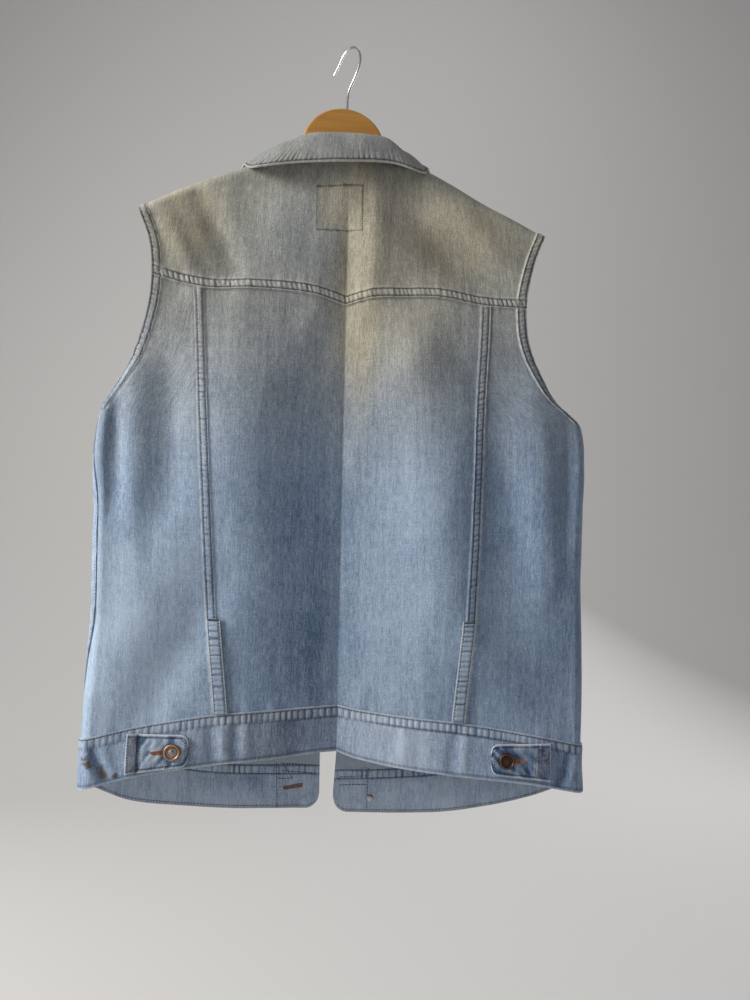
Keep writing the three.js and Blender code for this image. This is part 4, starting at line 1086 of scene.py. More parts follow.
def front_relief(s, a, x, z):
    """How far the outer face of a front stands off its surface."""
    below = eased(ARMPIT, ARMPIT - 4, z)
    w = side_inset(s, a, z)
    seam = below * (felled(w, FELL_WIDTH, z, 51 + s) + drawn(np.maximum(w - FELL_WIDTH, 0), z, 54 + s))
    w = front_edge_x(s, z) - np.abs(x)
    hem = (1 - below) * felled(w, ARM_HEM, z, 57 + s)
    by_band = drawn(z - front_band_z(s, np.abs(x)), x, 60, reach=11, height=0.6)
    return seam + hem + by_band + 0.5 * crumple(x, z, 34, 52, 61) + 0.2 * crumple(x, z, 13, 21, 62)


def front_lift(s):
    def lift(a, v):
        at = front_panel_point(s)(a, v)
        return front_relief(s, a, at[..., 0], at[..., 2])

    return lift


def front_state(s):
    def state(x, z):
        w = front_edge_x(s, z) - np.abs(x)
        armhole = (z > ARMPIT) * (w < ARM_HEM + 3)
        edges = bell(w / 1.3) + bell((w - ARM_HEM) / 1.3)
        height = ladder(z + 0.3 * w, RUNG, 57 + s) * between_rows(w, ARM_HEM)
        wrapped = (z < ARMPIT) * bell((edge_x(s, z) - np.abs(x)) / 9)
        worn = (
            armhole * (0.5 * edges + 0.4 * np.maximum(height, 0))
            + 0.35 * wrapped * np.maximum(ladder(z, RUNG, 51 + s), 0)
        )
        return dict(worn=np.clip(worn, 0, 1), deep=np.clip(armhole * 0.8 * np.maximum(-height, 0), 0, 1),
                    yellowed=eased(-480, -250, z) * 0.5)

    return state


def front_columns(s):
    inner = float(sided(FRONT_EDGE, "z", s, -150))
    neck = A_ROUND * (NECK_HALF - inner) / (float(edge_x(s, -150)) - SIDE_ROUND - inner)
    by_neck = neck * (1 - (1 - np.linspace(0, 1, 19)) ** 2)
    return joined(by_neck, even(neck, A_ROUND, 0.0105), round_off(A_ROUND, 25))


for s, name in ((-1, "left"), (1, "right")):
    rows = joined(np.linspace(0, 1, 9), np.linspace(1, 1.975, 120), np.linspace(1.975, 2, 7))
    front = lay_ply(
        "front_cloth_" + name, front_panel_point(s), front_columns(s), rows, front_lift(s), flat(CLOTH),
        body_denim, turn=s, state=front_state(s),
    )
    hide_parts("front_" + name)

# %% The plackets
PLACKET = dict(width=38.0, above=0.8, thick=1.5, below=4.0, top=-230.0, rise=0.55)


def placket_point(s):
    def point(d, v):
        inner = sided(FRONT_EDGE, "z", s, PLACKET["top"])
        highest = ridge_z(s, NECK_HALF) - NECK_DROP * PLACKET["rise"]
        top = np.minimum(front_top(s, inner + d), highest) - PLACKET["below"]
        z = lerp(top, front_band_z(s, d + inner) + SEAM_GAP, v)
        x = sided(FRONT_EDGE, "z", s, z) + d
        return np.stack([s * x, front_depth(s * x, z), z], -1)

    return point


def placket_lift(s):
    def lift(d, v):
        z = placket_point(s)(d, v)[..., 2]
        edge = np.minimum(d, PLACKET["width"] - d)
        rows = bell((edge - 2.5) / 0.8)
        puckers = 0.25 * ladder(z, 6.0, 65 + s) * np.exp(-np.maximum(edge - 2.5, 0) / 4) * eased(0.5, 3, edge)
        return (
            PLACKET["above"] + PLACKET["thick"] - 0.4 + 0.4 * np.sqrt(np.clip(edge / 1.2, 0, 1)) - 0.35 * rows
            + puckers
        )

    return lift


def placket_state(s):
    def state(x, z):
        d = np.abs(x) - sided(FRONT_EDGE, "z", s, z)
        edge = np.minimum(d, PLACKET["width"] - d)
        height = ladder(z, 6.0, 65 + s) * np.exp(-np.maximum(edge - 2.5, 0) / 4)
        return dict(worn=np.clip(0.8 * bell(edge / 1.3) + 0.3 * np.maximum(height, 0), 0, 1),
                    deep=np.clip(0.6 * np.maximum(-height, 0) + 0.4 * bell((edge - 2.5) / 1), 0, 1),
                    yellowed=eased(-480, -250, z) * 0.5)

    return state


for s, name in ((-1, "left"), (1, "right")):
    across = joined(even(0.5, 5, 0.9), even(5, 33, 2.0), even(33, PLACKET["width"], 0.9))
    placket = lay_ply(
        "placket_" + name, placket_point(s), across, np.linspace(0, 1, 240), placket_lift(s),
        flat(-PLACKET["above"]), body_denim, turn=s, state=placket_state(s),
    )
    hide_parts("front_placket_" + name)

# %% The waistband at the fronts
CORNER = 16.0  # radius of the fronts' lower corners


def front_band_point(s):
    def point(a, v):
        x = front_x(s, a, -835) - front_x(s, 0.0, -835)
        cut = np.where(x < CORNER, CORNER - np.sqrt(np.maximum(CORNER**2 - (CORNER - x) ** 2, 0)), 0)
        top = front_meets(s, a, front_band_z, -785) - SEAM_GAP / 2
        return front_point(s, a, lerp(top, front_meets(s, a, front_hem_z, -835) + cut, v))

    return point


def front_band_relief(s, seed):
    """Relief of one face of a front's band, as a lift on its grid."""
    def lift(a, v):
        at = front_band_point(s)(a, v)
        x, z = at[..., 0], at[..., 2]
        top = front_band_point(s)(a, np.zeros_like(v))[..., 2]
        hem = front_band_point(s)(a, np.ones_like(v))[..., 2]
        return stitched_strip(x, top - z, z - hem, seed) + 0.5 * crumple(x, z, 20, 26, seed + 9)

    return lift


def front_band_state(s):
    def state(x, z):
        a = np.abs(x)
        down, up = front_band_z(s, a) - z, z - front_hem_z(s, a)
        worn, deep = strip_wear(x, down, up, 71)
        patch = (
            bell((z + 830) / 9) * (0.5 + 0.5 * ripple(x, 34, 76)) * eased(-62, -78, x) * eased(-160, -120, x)
        )
        patch = patch + bell((z + 822) / 6) * bell((x - 95) / 26)
        return dict(worn=0.8 * worn, deep=np.clip(1.15 * deep, 0, 1), stained=0.4 * bell((up - 1) / 1.6),
                    faded=0.3 + 0.12 * crumple(x, z, 14, 16, 77) - 0.45 * patch)

    return state


for s, name in ((-1, "left"), (1, "right")):
    turned_round = front_columns(s)
    columns = joined(even(0, A_ROUND, FINE * A_ROUND / 230), turned_round[turned_round >= A_ROUND])
    outer, inner = front_band_relief(s, 70), front_band_relief(s, 71)
    piece = lay_ply(
        "front_band_" + name, front_band_point(s), columns,
        joined(np.linspace(0, 0.27, 14), np.linspace(0.27, 0.9, 14), np.linspace(0.9, 1, 6)),
        lambda u, v: BAND_LIFT + outer(u, v), lambda u, v: BAND_WALL - BAND_LIFT + inner(u, v),
        band_denim, turn=s, state=front_band_state(s), folded=True,
    )
    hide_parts("waistband_front_" + name)

# %% [markdown]
# ## The collar
# A collar is two pieces: a stand that rises from the neck seam, and a fall that rolls over it and lies on the
# shoulders. The fall is a curve swept round the neck: for each place round the neck, one smooth cubic runs up
# from the fold, over it and down to the free edge. Where it would sink into a shoulder it is moved out.

# %% Tables of the collar
COLLAR = table(
    "u foldX foldY foldZ roll x y z",
    (-2, -22, 19, -203, 8, -52, 27, -262), (-1.6, -40, 20, -188, 8, -94, 27, -240),
    (-1.25, -51, 16, -156, 8, -118, 22, -194), (-1.12, -60, 13, -140, 10.5, -122, 14, -171),
    (-1, -65, 1.5, -124, 7, -121, 2, -151.5), (-0.7, -57, -7, -120, 7, -106, -31, -168),
    (-0.35, -37, -15, -117, 9, -62, -37, -163), (0, -3, -18, -117, 10, -4, -39, -158),
    (0.35, 36, -16, -117, 9, 45, -37, -155), (0.7, 53, -8, -122, 7, 80, -31, -160),
    (1, 65, 1.5, -127, 7.5, 95, 2, -146), (1.12, 60, 13, -143, 10.5, 102, 14, -164),
    (1.25, 51, 16, -158, 8, 106, 21, -184), (1.6, 40, 20, -190, 8, 90, 27, -238),
    (2, 22, 19, -204, 8, 52, 27, -264),
)
ROLL = dict(lean=0.1, along=0.35, crown=0.5)  # how the fall rolls over, as shares of its roll
COLLAR_CLEAR, FOLD_GAP, FALL_CLEAR = 1.6, 3.0, 3.2


def collar_at(u, keys):
    return np.stack([read(COLLAR, "u", key, u) for key in keys.split()], -1)


def neck_point(u):
    """Foot of the collar: the neck seam, in the middle of the cloth."""
    s, a = side_of(u), np.abs(u)
    turn = np.clip(a, 0, 1) * np.pi / 2
    x = NECK_HALF * np.sin(turn)
    behind = np.stack(
        [s * x, CLOTH / 2 - back_depth(s * x, back_top(s, x)) * np.cos(turn), back_top(s, x) + COLLAR_CLEAR],
        -1,
    )
    turn = np.clip(a - 1, 0, 1) * np.pi / 2
    inner = sided(FRONT_EDGE, "z", s, ridge_z(s, NECK_HALF) - NECK_DROP)
    x, z = lerp(inner, NECK_HALF, np.cos(turn)), ridge_z(s, NECK_HALF) - NECK_DROP * np.sin(turn)
    edge = sided(FRONT_EDGE, "z", s, z)
    depth = front_point(s, A_ROUND * (x - edge) / (front_edge_x(s, z) - SIDE_ROUND - edge), z)[..., 1]
    ahead = np.stack(
        [s * (x - COLLAR_CLEAR * np.cos(turn)), np.maximum(depth - CLOTH / 2, CLOTH / 2), z + COLLAR_CLEAR],
        -1,
    )
    return np.where((a <= 1)[..., None], behind, ahead)


def stand_top(u):
    at = collar_at(u, "foldX foldY foldZ")
    up = at - neck_point(u)
    return at, up / np.linalg.norm(up, axis=-1, keepdims=True)


def stand_point(u, v):
    u, v = np.broadcast_arrays(np.asarray(u, float), np.asarray(v, float))
    at, up = stand_top(u)
    return lerp(neck_point(u), at - up * FOLD_GAP, v[..., None])


def lay_over(at):
    """Moves a place of the fall out to where it lies on the shoulders, if it would sink into them."""
    s, x = side_of(at[..., 0]), np.abs(at[..., 0])
    hang = ridge_z(s, x) - RIDGE_ROUND
    depth = (
        np.where(at[..., 1] > 0, front_depth(at[..., 0], at[..., 2]), back_depth(at[..., 0], at[..., 2]))
        + FALL_CLEAR
    )
    up = np.maximum(0, (at[..., 2] - hang) / (RIDGE_ROUND + FALL_CLEAR))
    reach = np.hypot(at[..., 1] / depth, up)
    moved = (x >= NECK_HALF - FALL_CLEAR) & (reach < 1)
    reach = np.where(moved, np.maximum(reach, 1e-6), 1)
    z = np.where(up > 0, hang + (at[..., 2] - hang) / reach, at[..., 2])
    return np.stack([at[..., 0], at[..., 1] / reach, z], -1)


def fall_point(u, v):
    u, v = np.broadcast_arrays(np.asarray(u, float), np.asarray(v, float))
    at, up = stand_top(u)
    out = outward(stand_point, u, np.ones_like(u), (-2, 2), (0, 1), 1)
    edge = collar_at(u, "x y z")
    roll = read(COLLAR, "u", "roll", u)[..., None]
    first = at + up * roll + out * roll * ROLL["lean"]
    over = lerp(at, edge, ROLL["along"]) + up * roll * ROLL["crown"] + out * roll
    t = v[..., None]
    curve = (1 - t) ** 3 * at + 3 * (1 - t) ** 2 * t * first + 3 * (1 - t) * t**2 * over + t**3 * edge
    return lay_over(curve)


print("fall's edge at the back:", fall_point(0.0, 1.0).round(1).tolist())

# %% The stand and the fall
around = np.linspace(-2, 2, 1201)
edge_line = fall_point(around, np.ones_like(around))
edge_length = np.concatenate([[0], np.cumsum(np.linalg.norm(np.diff(edge_line, axis=0), axis=1))])
EDGE_ROW = 3.0  # distance of the row of stitches from the fall's edge


def fall_inset(u, v):
    """Distances of a place from the fall's free edge and from its nearest end."""
    near_end = np.minimum(
        np.interp(u, around, edge_length), edge_length[-1] - np.interp(u, around, edge_length)
    )
    return np.linalg.norm(
        fall_point(u, v) - fall_point(u, np.ones_like(np.asarray(u, float))), axis=-1
    ), near_end


def fall_puckers(edge, along):
    """Puckers that run up from the row of stitches, some short and some long."""
    long = 8 + 5 * ripple(along, 15, 83)
    strong = 0.65 + 0.35 * ripple(along, 24, 84)
    return strong * ladder(along, 6.0, 81) * np.exp(-np.maximum(edge - 4, 0) / long) * eased(2.4, 4.6, edge)


def fall_lift(u, v):
    w, end = fall_inset(u, v)
    edge = np.minimum(w, end)
    along = np.interp(u, around, edge_length)
    row = bell((edge - EDGE_ROW) / 0.8)
    soft = 0.6 * crumple(along, 60 * v, 22, 30, 82)
    return (
        DOUBLE / 2 - 0.5 + 0.5 * np.sqrt(np.clip(edge / 1.2, 0, 1)) - 0.5 * row
        + 0.8 * fall_puckers(edge, along) + soft
    )


def fall_state_on(u, v):
    """Wear of the fall, by its grid."""
    w, end = fall_inset(u, v)
    edge, along = np.minimum(w, end), np.interp(u, around, edge_length)
    height = fall_puckers(edge, along)
    worn = 0.5 * bell(edge / 1.0) + 0.4 * np.maximum(height, 0) + 0.2 * eased(0.32, 0.12, v)
    deep = 1.3 * np.maximum(-height, 0) + 0.9 * bell((edge - EDGE_ROW) / 0.8)
    return dict(worn=np.clip(worn, 0, 1), deep=np.clip(deep, 0, 1), yellowed=0.72 + 0.25 * eased(0.5, 0.1, v),
                faded=0.1 * crumple(along, 60 * v, 12, 20, 85) - 0.22)


stand = lay_ply(
    "collar_stand_cloth", stand_point, np.linspace(-2, 2, 181), np.linspace(0, 1, 12), flat(DOUBLE / 2),
    flat(DOUBLE / 2), body_denim, state=lambda x, z: dict(yellowed=0.6),
)
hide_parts("collar_stand")
fall_columns = joined(even(-2, -1, 0.012), even(-1, 1, 0.01), even(1, 2, 0.012))
fall_rows = joined(np.linspace(0, 0.3, 12), np.linspace(0.3, 0.78, 22), np.linspace(0.78, 1, 22))
fall_grid = np.meshgrid(fall_columns, fall_rows)
fall = lay_ply(
    "collar_fall_cloth", fall_point, fall_columns, fall_rows, fall_lift, flat(DOUBLE / 2), body_denim,
    turn=-1, state=lambda x, z: fall_state_on(*fall_grid), folded=True,
)
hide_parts("collar_fall")

# %% [markdown]
# ## The waist tabs
# A tab of deeper blue cloth is sewn into the band at its outer end and buttoned at its free end. Its turned
# edges have gone white, and the pull of the button draws short folds across it. It is a ply like the others,
# laid on the band's outer face, with a fold at the sewn end.

# %% The tabs
TAB = dict(
    length=63.0, sewn_half=19.5, free_half=15.5, corner=8.0, above=0.9, thick=1.8, fold=12.0, fold_lift=0.8
)
TAB_SEED = 90  # of the random folds in the tabs
TABS = table(
    "s x1 z1 x2 z2 button grime faded",
    (-1, -210, -789.5, -149, -786.5, 47, 0.75, 0.2), (1, 224, -800, 161, -797, 47, 0.3, -0.16),
)


def tab_point(i):
    tab = {key: column[i] for key, column in TABS.items()}

    def point(t, v):
        at = t / TAB["length"]
        round_ = np.maximum(0, t - (TAB["length"] - TAB["corner"]))
        cut = TAB["corner"] - np.sqrt(np.maximum(TAB["corner"] ** 2 - round_**2, 0))
        half = lerp(TAB["sewn_half"], TAB["free_half"], at) - cut
        x, z = lerp(tab["x1"], tab["x2"], at), lerp(tab["z1"], tab["z2"], at) - v * half
        return back_point(back_u(x, z), z)

    return point


def tab_inset(t, v):
    """Distance of a place from the tab's edge."""
    half = lerp(TAB["sewn_half"], TAB["free_half"], t / TAB["length"])
    inner = TAB["length"] - TAB["corner"]
    side = half * (1 - np.abs(v))
    return np.minimum(side, np.where(t > inner, TAB["length"] - t + 0.25 * side, TAB["length"] - t))


def tab_lift(seed):
    def lift(t, v):
        edge = tab_inset(t, v)
        folded = eased(TAB["fold"], TAB["fold"] - 1.2, t)
        row = bell((edge - 3) / 0.8) * (1 - folded)
        pulled = (
            0.8 * crumple(t + 14 * v, 18 * v - 0.4 * t, 4.6, 9, seed) * eased(TAB["fold"], TAB["fold"] + 6, t)
        )
        puff = 0.6 * eased(3, 9, edge)
        height = BAND_LIFT + TAB["above"] + TAB["thick"] + TAB["fold_lift"] * folded + puff
        return (
            height - 0.5 + 0.5 * np.sqrt(np.clip(np.minimum(edge, t) / 1.4, 0, 1)) - 0.45 * row
            + pulled * eased(1.5, 5, edge)
        )

    return lift


def tab_state(grid, seed, grime, faded):
    """Wear of a tab: how grimy its sewn end is, and how faded its cloth."""
    t, v = grid
    edge = tab_inset(t, v)
    folded = eased(TAB["fold"] + 0.5, TAB["fold"] - 0.5, t)
    height = crumple(t + 14 * v, 18 * v - 0.4 * t, 4.6, 9, seed)
    speckled = crumple(18 * v, t, 2.4, 2.4, seed + 1)
    worn = 0.95 * bell(edge / 1.3) + 0.7 * bell(t / 1.2) + 0.45 * np.maximum(height, 0) * (1 - folded)
    worn = worn + 0.5 * folded * np.maximum(speckled, 0)
    grimy = grime * folded * eased(0.8, 2.5, t) * (0.65 + 0.35 * speckled)
    deep = 0.7 * np.maximum(-height, 0) + 0.7 * bell((edge - 3) / 0.8) + 0.8 * bell((t - TAB["fold"]) / 1.2)
    return dict(worn=np.clip(worn, 0, 1), deep=np.clip(deep, 0, 1), stained=grimy,
                faded=faded + 0.25 * crumple(t, 18 * v, 4, 12, seed + 2))


tabs = []
for i, name in enumerate(("left", "right")):
    along = joined(
        even(0, 1.5, 0.5), even(1.5, 10.5, 1.5), even(10.5, 13, 0.5), even(13, 55, 1.3),
        even(55, TAB["length"], 0.7),
    )
    across = joined(even(-1, -0.7, 0.045), even(-0.7, 0.7, 0.08), even(0.7, 1, 0.045))
    grid = np.meshgrid(along, across)
    wear = tab_state(grid, TAB_SEED + i, TABS["grime"][i], TABS["faded"][i])
    tab = lay_ply(
        "tab_" + name, tab_point(i), along, across, tab_lift(TAB_SEED + i),
        flat(-BAND_LIFT - TAB["above"]), tab_denim, turn=int(TABS["s"][i]),
        state=lambda x, z, wear=wear: wear, folded=True,
    )
    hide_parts("waist_tab_" + name)
    tabs.append(tab)

# %% [markdown]
# ## Sewing thread
# A lockstitch shows as a row of short threads, each diving into the cloth at both ends. A dashed line in the
# material would vanish at a low angle and would cast no shadow. Here each stitch is a small bent tube of
# thread, laid along its row on the finished surface. All rows of one piece share one mesh, so thousands stay
# light.

# %% A stitch
THREAD = dict(pitch=3.3, length=2.7, half=0.46, dip=0.4, rise=0.22)
SIDES = 6


def stitches(points, outs, pitch=THREAD["pitch"], length=THREAD["length"], half=THREAD["half"], across=False):
    """Rings of points of the stitches along one row. across turns each stitch across its row."""
    run = np.concatenate([[0], np.cumsum(np.linalg.norm(np.diff(points, axis=0), axis=1))])
    count = max(1, int(round(run[-1] / pitch)))
    at = (np.arange(count) + 0.5) * run[-1] / count
    def pick(values, where):
        return np.stack([np.interp(where, run, values[:, k]) for k in range(3)], -1)

    centre, out = pick(points, at), pick(outs, at)
    ahead = pick(points, np.minimum(at + 0.5, run[-1])) - pick(points, np.maximum(at - 0.5, 0))
    ahead /= np.linalg.norm(ahead, axis=1, keepdims=True)
    aside = np.cross(out, ahead)
    if across:
        ahead, aside = aside, ahead
    angle = np.arange(SIDES) * 2 * np.pi / SIDES
    rings = []
    for share, lift, thin in (
        (-0.5, -THREAD["dip"], 0.6), (0.0, THREAD["rise"], 1.0), (0.5, -THREAD["dip"], 0.6)
    ):
        middle = centre + ahead * share * length + out * lift
        spoke = out[:, None] * np.cos(angle)[:, None] + aside[:, None] * np.sin(angle)[:, None]
        rings.append(middle[:, None] + spoke * half * thin)
    return np.stack(rings, 1).reshape(-1, 3)


def stitch_faces(count):
    """Faces of count stitches: two bands of quads and two ends."""
    a = np.arange(SIDES)
    b = (a + 1) % SIDES
    bands = [np.stack([a + k, b + k, b + k + SIDES, a + k + SIDES], -1) for k in (0, SIDES)]
    last = 2 * SIDES
    ends = [
        [0, 3, 2, 1], [0, 5, 4, 3], [last, last + 1, last + 2, last + 3],
        [last, last + 3, last + 4, last + 5],
    ]
    one = np.concatenate([*bands, np.array(ends)])
    return (one[None] + (np.arange(count) * 3 * SIDES)[:, None, None]).reshape(-1, 4)


def sew(name, rows, material):
    """One mesh of all stitches of some rows."""
    points = np.concatenate(rows)
    count = len(points) // (3 * SIDES)
    piece = mesh_piece(name, hung(points), stitch_faces(count), [material])
    print(f"{name}: {count} stitches")
    return piece


def spun_thread(name, colour, fade):
    """Polyester-wrapped cotton thread: dark, faded in places, with a slight sheen."""
    material, tree, shader = material_tree(name)
    place = node(tree, "ShaderNodeTexCoord").outputs["Object"]
    faded = node(tree, "ShaderNodeTexNoise", {"Vector": place, "Scale": 120.0, "Detail": 2.0}).outputs["Fac"]
    ply = node(
        tree, "ShaderNodeTexWave", {"Vector": place, "Scale": 900.0, "Distortion": 2.0},
        bands_direction="DIAGONAL",
    ).outputs["Fac"]
    mixed = blend(tree, stretch(tree, faded, 0.35, 0.7), colour, fade)
    tree.links.new(
        blend(tree, calc(tree, "MULTIPLY", ply, 0.35), mixed, (0.02, 0.02, 0.02, 1)),
        shader.inputs["Base Color"],
    )
    tree.links.new(
        node(tree, "ShaderNodeBump", {"Height": ply, "Strength": 0.4, "Distance": 0.0002}).outputs[0],
        shader.inputs["Normal"],
    )
    shader.inputs["Roughness"].default_value = 0.7
    shader.inputs["Sheen Weight"].default_value = 0.2
    return material


seam_thread = spun_thread("seam_thread", shade(40, 43, 54), shade(78, 78, 84))
buttonhole_thread = spun_thread("buttonhole_thread", shade(142, 92, 58), shade(184, 136, 96))
print("threads:", seam_thread.name, buttonhole_thread.name)

# %% Rows on the back
def on_back(x, z, relief, by=0.0):
    """Places and ways out on the back's outer face, for a line of x and z."""
    u = back_u(x, z)
    out = outward(back_point, u, z, (-1, 1), (-870, -120), 1)
    return back_point(u, z) + out * (relief(x, z) + by)[:, None], out


def back_row(x, z, relief=back_relief, **how):
    x, z = np.broadcast_arrays(np.asarray(x, float), np.asarray(z, float))
    return stitches(*on_back(x, z, relief), **how)


back_rows = []
across = np.linspace(-1, 1, 400)
for inset in (STITCH_IN, YOKE_FELL - STITCH_IN):
    x = across * 205
    back_rows.append(back_row(x, yoke_seam_z(side_of(x), np.abs(x)) + inset))
for s in (-1, 1):
    z = np.linspace(-312, VENT["top"], 400)
    for inset in (STITCH_IN, FELL_WIDTH - STITCH_IN):
        back_rows.append(back_row(s * (centre_panel_x(s, z) - inset), z))
    z = np.linspace(float(ridge_z(s, 226)) - 10, ARMPIT + 5, 300)
    for inset in (STITCH_IN, ARM_HEM - STITCH_IN):
        back_rows.append(back_row(s * (edge_x(s, z) - inset), z))
print("rows on the back:", len(back_rows))

# %% Rows on the waistband, the vents and the yoke's rectangle
x = across * 262
s = side_of(x)
for down in BAND_ROWS:
    back_rows.append(back_row(x, back_band_z(s, np.abs(x)) - down, band_relief))
for s in (-1, 1):
    lift = vent_lift(s)
    for side in (-1, 1):
        v = np.linspace(0.0, 0.985, 120)
        place = vent_point(s)(np.full(120, side * (VENT["width"] / 2 - 1.8)), v)
        out = outward(vent_point(s), np.full(120, side * 5.2), v, (-7, 7), (0, 1), -s)
        back_rows.append(stitches(place + out * lift(np.full(120, side * 5.2), v)[:, None], out))
    tack = np.linspace(-VENT["width"] / 2 + 1, VENT["width"] / 2 - 1, 30)
    place = vent_point(s)(tack, np.full(30, 0.012))
    out = outward(vent_point(s), tack, np.full(30, 0.012), (-7, 7), (0, 1), -s)
    back_rows.append(
        stitches(
            place + out * lift(tack, np.full(30, 0.012))[:, None], out, pitch=0.8, length=2.2, across=True
        )
    )
for (x1, z1), (x2, z2), dark in zip(LABEL, LABEL[1:] + LABEL[:1], LABEL_DARK):
    t = np.linspace(0, 1, 40)
    back_rows.append(back_row(lerp(x1, x2, t), lerp(z1, z2, t), pitch=2.9, length=2.5, half=0.3 + 0.2 * dark))
back_thread = sew("back_thread", back_rows, seam_thread)

# %% Rows on the fronts
def front_row(s, a, z, **how):
    """A row on a front's outer face, at shares a of the way round and heights z."""
    a, z = np.broadcast_arrays(np.asarray(a, float), np.asarray(z, float))
    place = front_point(s, a, z)
    out = outward(lambda a, z: front_point(s, a, z), a, z, (0, 1), (-870, -120), -s)
    return stitches(place + out * front_relief(s, a, place[:, 0], z)[:, None], out, **how)


def a_at(s, x, z):
    """The share a of a place x on the flat part or on the rounding towards the armhole."""
    inner, flat_x = sided(FRONT_EDGE, "z", s, z), front_edge_x(s, z) - SIDE_ROUND
    turn = (
        np.degrees(np.arcsin(np.clip((x - flat_x) / SIDE_ROUND, 0, 1))) / np.maximum(front_turn(s, 1.0, z), 1)
    )
    return np.where(x <= flat_x, A_ROUND * (x - inner) / (flat_x - inner), lerp(A_ROUND, 1, turn))


front_rows = []
for s in (-1, 1):
    z = np.linspace(-222, ARMPIT + 5, 300)
    for inset in (STITCH_IN, ARM_HEM - STITCH_IN):
        front_rows.append(front_row(s, a_at(s, front_edge_x(s, z) - inset, z), z))
    z = np.linspace(ARMPIT - 4, -776, 300)
    for inset in (STITCH_IN, FELL_WIDTH - STITCH_IN):
        arc = np.radians(front_turn(s, 1.0, z)) * SIDE_ROUND
        front_rows.append(front_row(s, 1 - inset / arc * (1 - A_ROUND), z))
    v = np.linspace(0.004, 0.996, 400)
    for d in (2.5, PLACKET["width"] - 2.5):
        d = np.full(400, d)
        place, out = placket_point(s)(d, v), outward(placket_point(s), d, v, (0, PLACKET["width"]), (0, 1), s)
        front_rows.append(stitches(place + out * placket_lift(s)(d, v)[:, None], out))
print("rows on the fronts:", len(front_rows))

# %% Rows on the fronts' waistband, on both faces
for s in (-1, 1):
    point = front_band_point(s)
    a = np.linspace(4 / 340, 0.985, 300)
    for outside, seed in ((True, 70), (False, 71)):
        relief = front_band_relief(s, seed)
        for down in (*BAND_ROWS, -3.0):
            top, foot = point(a, np.zeros(300))[:, 2], point(a, np.ones(300))[:, 2]
            v = down / (top - foot) if down > 0 else 1 + down / (top - foot)
            out = outward(point, a, v, (0, 1), (0, 1), s)
            by = relief(a, v) + (BAND_LIFT if outside else BAND_WALL - BAND_LIFT)
            out = out if outside else -out
            front_rows.append(stitches(point(a, v) + out * by[:, None], out))
# Short rows on the inner faces, near the opening: where they start and end, as x and z.
INNER_ROWS = [
    (-62, -806, -60, -862), (-58, -808, -44, -828), (-60, -828, -44, -828), (-56, -812, -22, -814),
    (-56, -820, -22, -822), (6, -816, 36, -816), (6, -826, 36, -825), (6, -835, 36, -834),
    (37, -806, 37, -860),
]


def inner_row(x1, z1, x2, z2, lift=0.0, **how):
    """A row on the inner face of a front's waistband, between two places."""
    s = -1 if x1 + x2 < 0 else 1
    point, relief = front_band_point(s), front_band_relief(s, 71)
    t = np.linspace(0, 1, 60)
    x, z = lerp(x1, x2, t), lerp(z1, z2, t)
    inner, far = front_x(s, 0.0, -835), front_x(s, A_ROUND, -835)
    a = A_ROUND * (np.abs(x) - inner) / (far - inner)
    top, foot = point(a, np.zeros(60))[:, 2], point(a, np.ones(60))[:, 2]
    v = np.clip((top - z) / (top - foot), 0, 1)
    out = -outward(point, a, v, (0, 1), (0, 1), s)
    return stitches(point(a, v) + out * (relief(a, v) + BAND_WALL - BAND_LIFT + lift)[:, None], out, **how)


front_rows += [inner_row(*row, lift=0.2) for row in INNER_ROWS]
front_thread = sew("front_thread", front_rows, seam_thread)

# %% Rows on the collar and the tabs
collar_rows = []
u = np.linspace(-1.97, 1.97, 500)
reach = np.linalg.norm(fall_point(u, np.ones(500)) - fall_point(u, np.full(500, 0.9)), axis=1) / 0.1
v = 1 - EDGE_ROW / reach
out = outward(fall_point, u, v, (-2, 2), (0, 1), -1)
collar_rows.append(stitches(fall_point(u, v) + out * fall_lift(u, v)[:, None], out))
for end in (-1, 1):
    v = np.linspace(0.12, 0.94, 60)
    u = np.full(60, end * 1.97)
    out = outward(fall_point, u, v, (-2, 2), (0, 1), -1)
    collar_rows.append(stitches(fall_point(u, v) + out * fall_lift(u, v)[:, None], out))
collar_thread = sew("collar_thread", collar_rows, seam_thread)

tab_rows, hole_rows = [], []
for i, tab in enumerate(tabs):
    s, point, lift = int(TABS["s"][i]), tab_point(i), tab_lift(TAB_SEED + i)
    half = lerp(TAB["sewn_half"], TAB["free_half"], 0.6)
    inner = 1 - 3 / half
    corners = [
        (TAB["fold"] + 1, inner), (55, inner), (60, 0.52), (60, -0.52), (55, -inner),
        (TAB["fold"] + 1, -inner),
    ]
    lines = [corners, [(TAB["fold"] + 1.6, inner), (TAB["fold"] + 1.6, -inner)], [(1.8, 0.93), (1.8, -0.93)]]
    for number, line in enumerate(lines):
        line = np.array(line, float)
        t = np.interp(np.linspace(0, len(line) - 1, 200), np.arange(len(line)), line[:, 0])
        v = np.interp(np.linspace(0, len(line) - 1, 200), np.arange(len(line)), line[:, 1])
        out = outward(point, t, v, (0, TAB["length"]), (-1, 1), s)
        rows = hole_rows if (i, number) == (1, 1) else tab_rows  # the right tab's fold is sewn in brown
        rows.append(stitches(point(t, v) + out * lift(t, v)[:, None], out, pitch=2.9, length=2.3))
    for side in (-1, 0, 1):
        t = np.linspace(25.0, 40.0, 60)
        v = side * np.interp(t, [25, 29, 40], [0.0, 0.05, 0.13])
        out = outward(point, t, v, (0, TAB["length"]), (-1, 1), s)
        hole_rows.append(
            stitches(
                point(t, v) + out * (lift(t, v) + 0.1)[:, None], out, pitch=0.62, length=2.5, half=0.34,
                across=True,
            )
        )
tab_thread = sew("tab_thread", tab_rows, seam_thread)

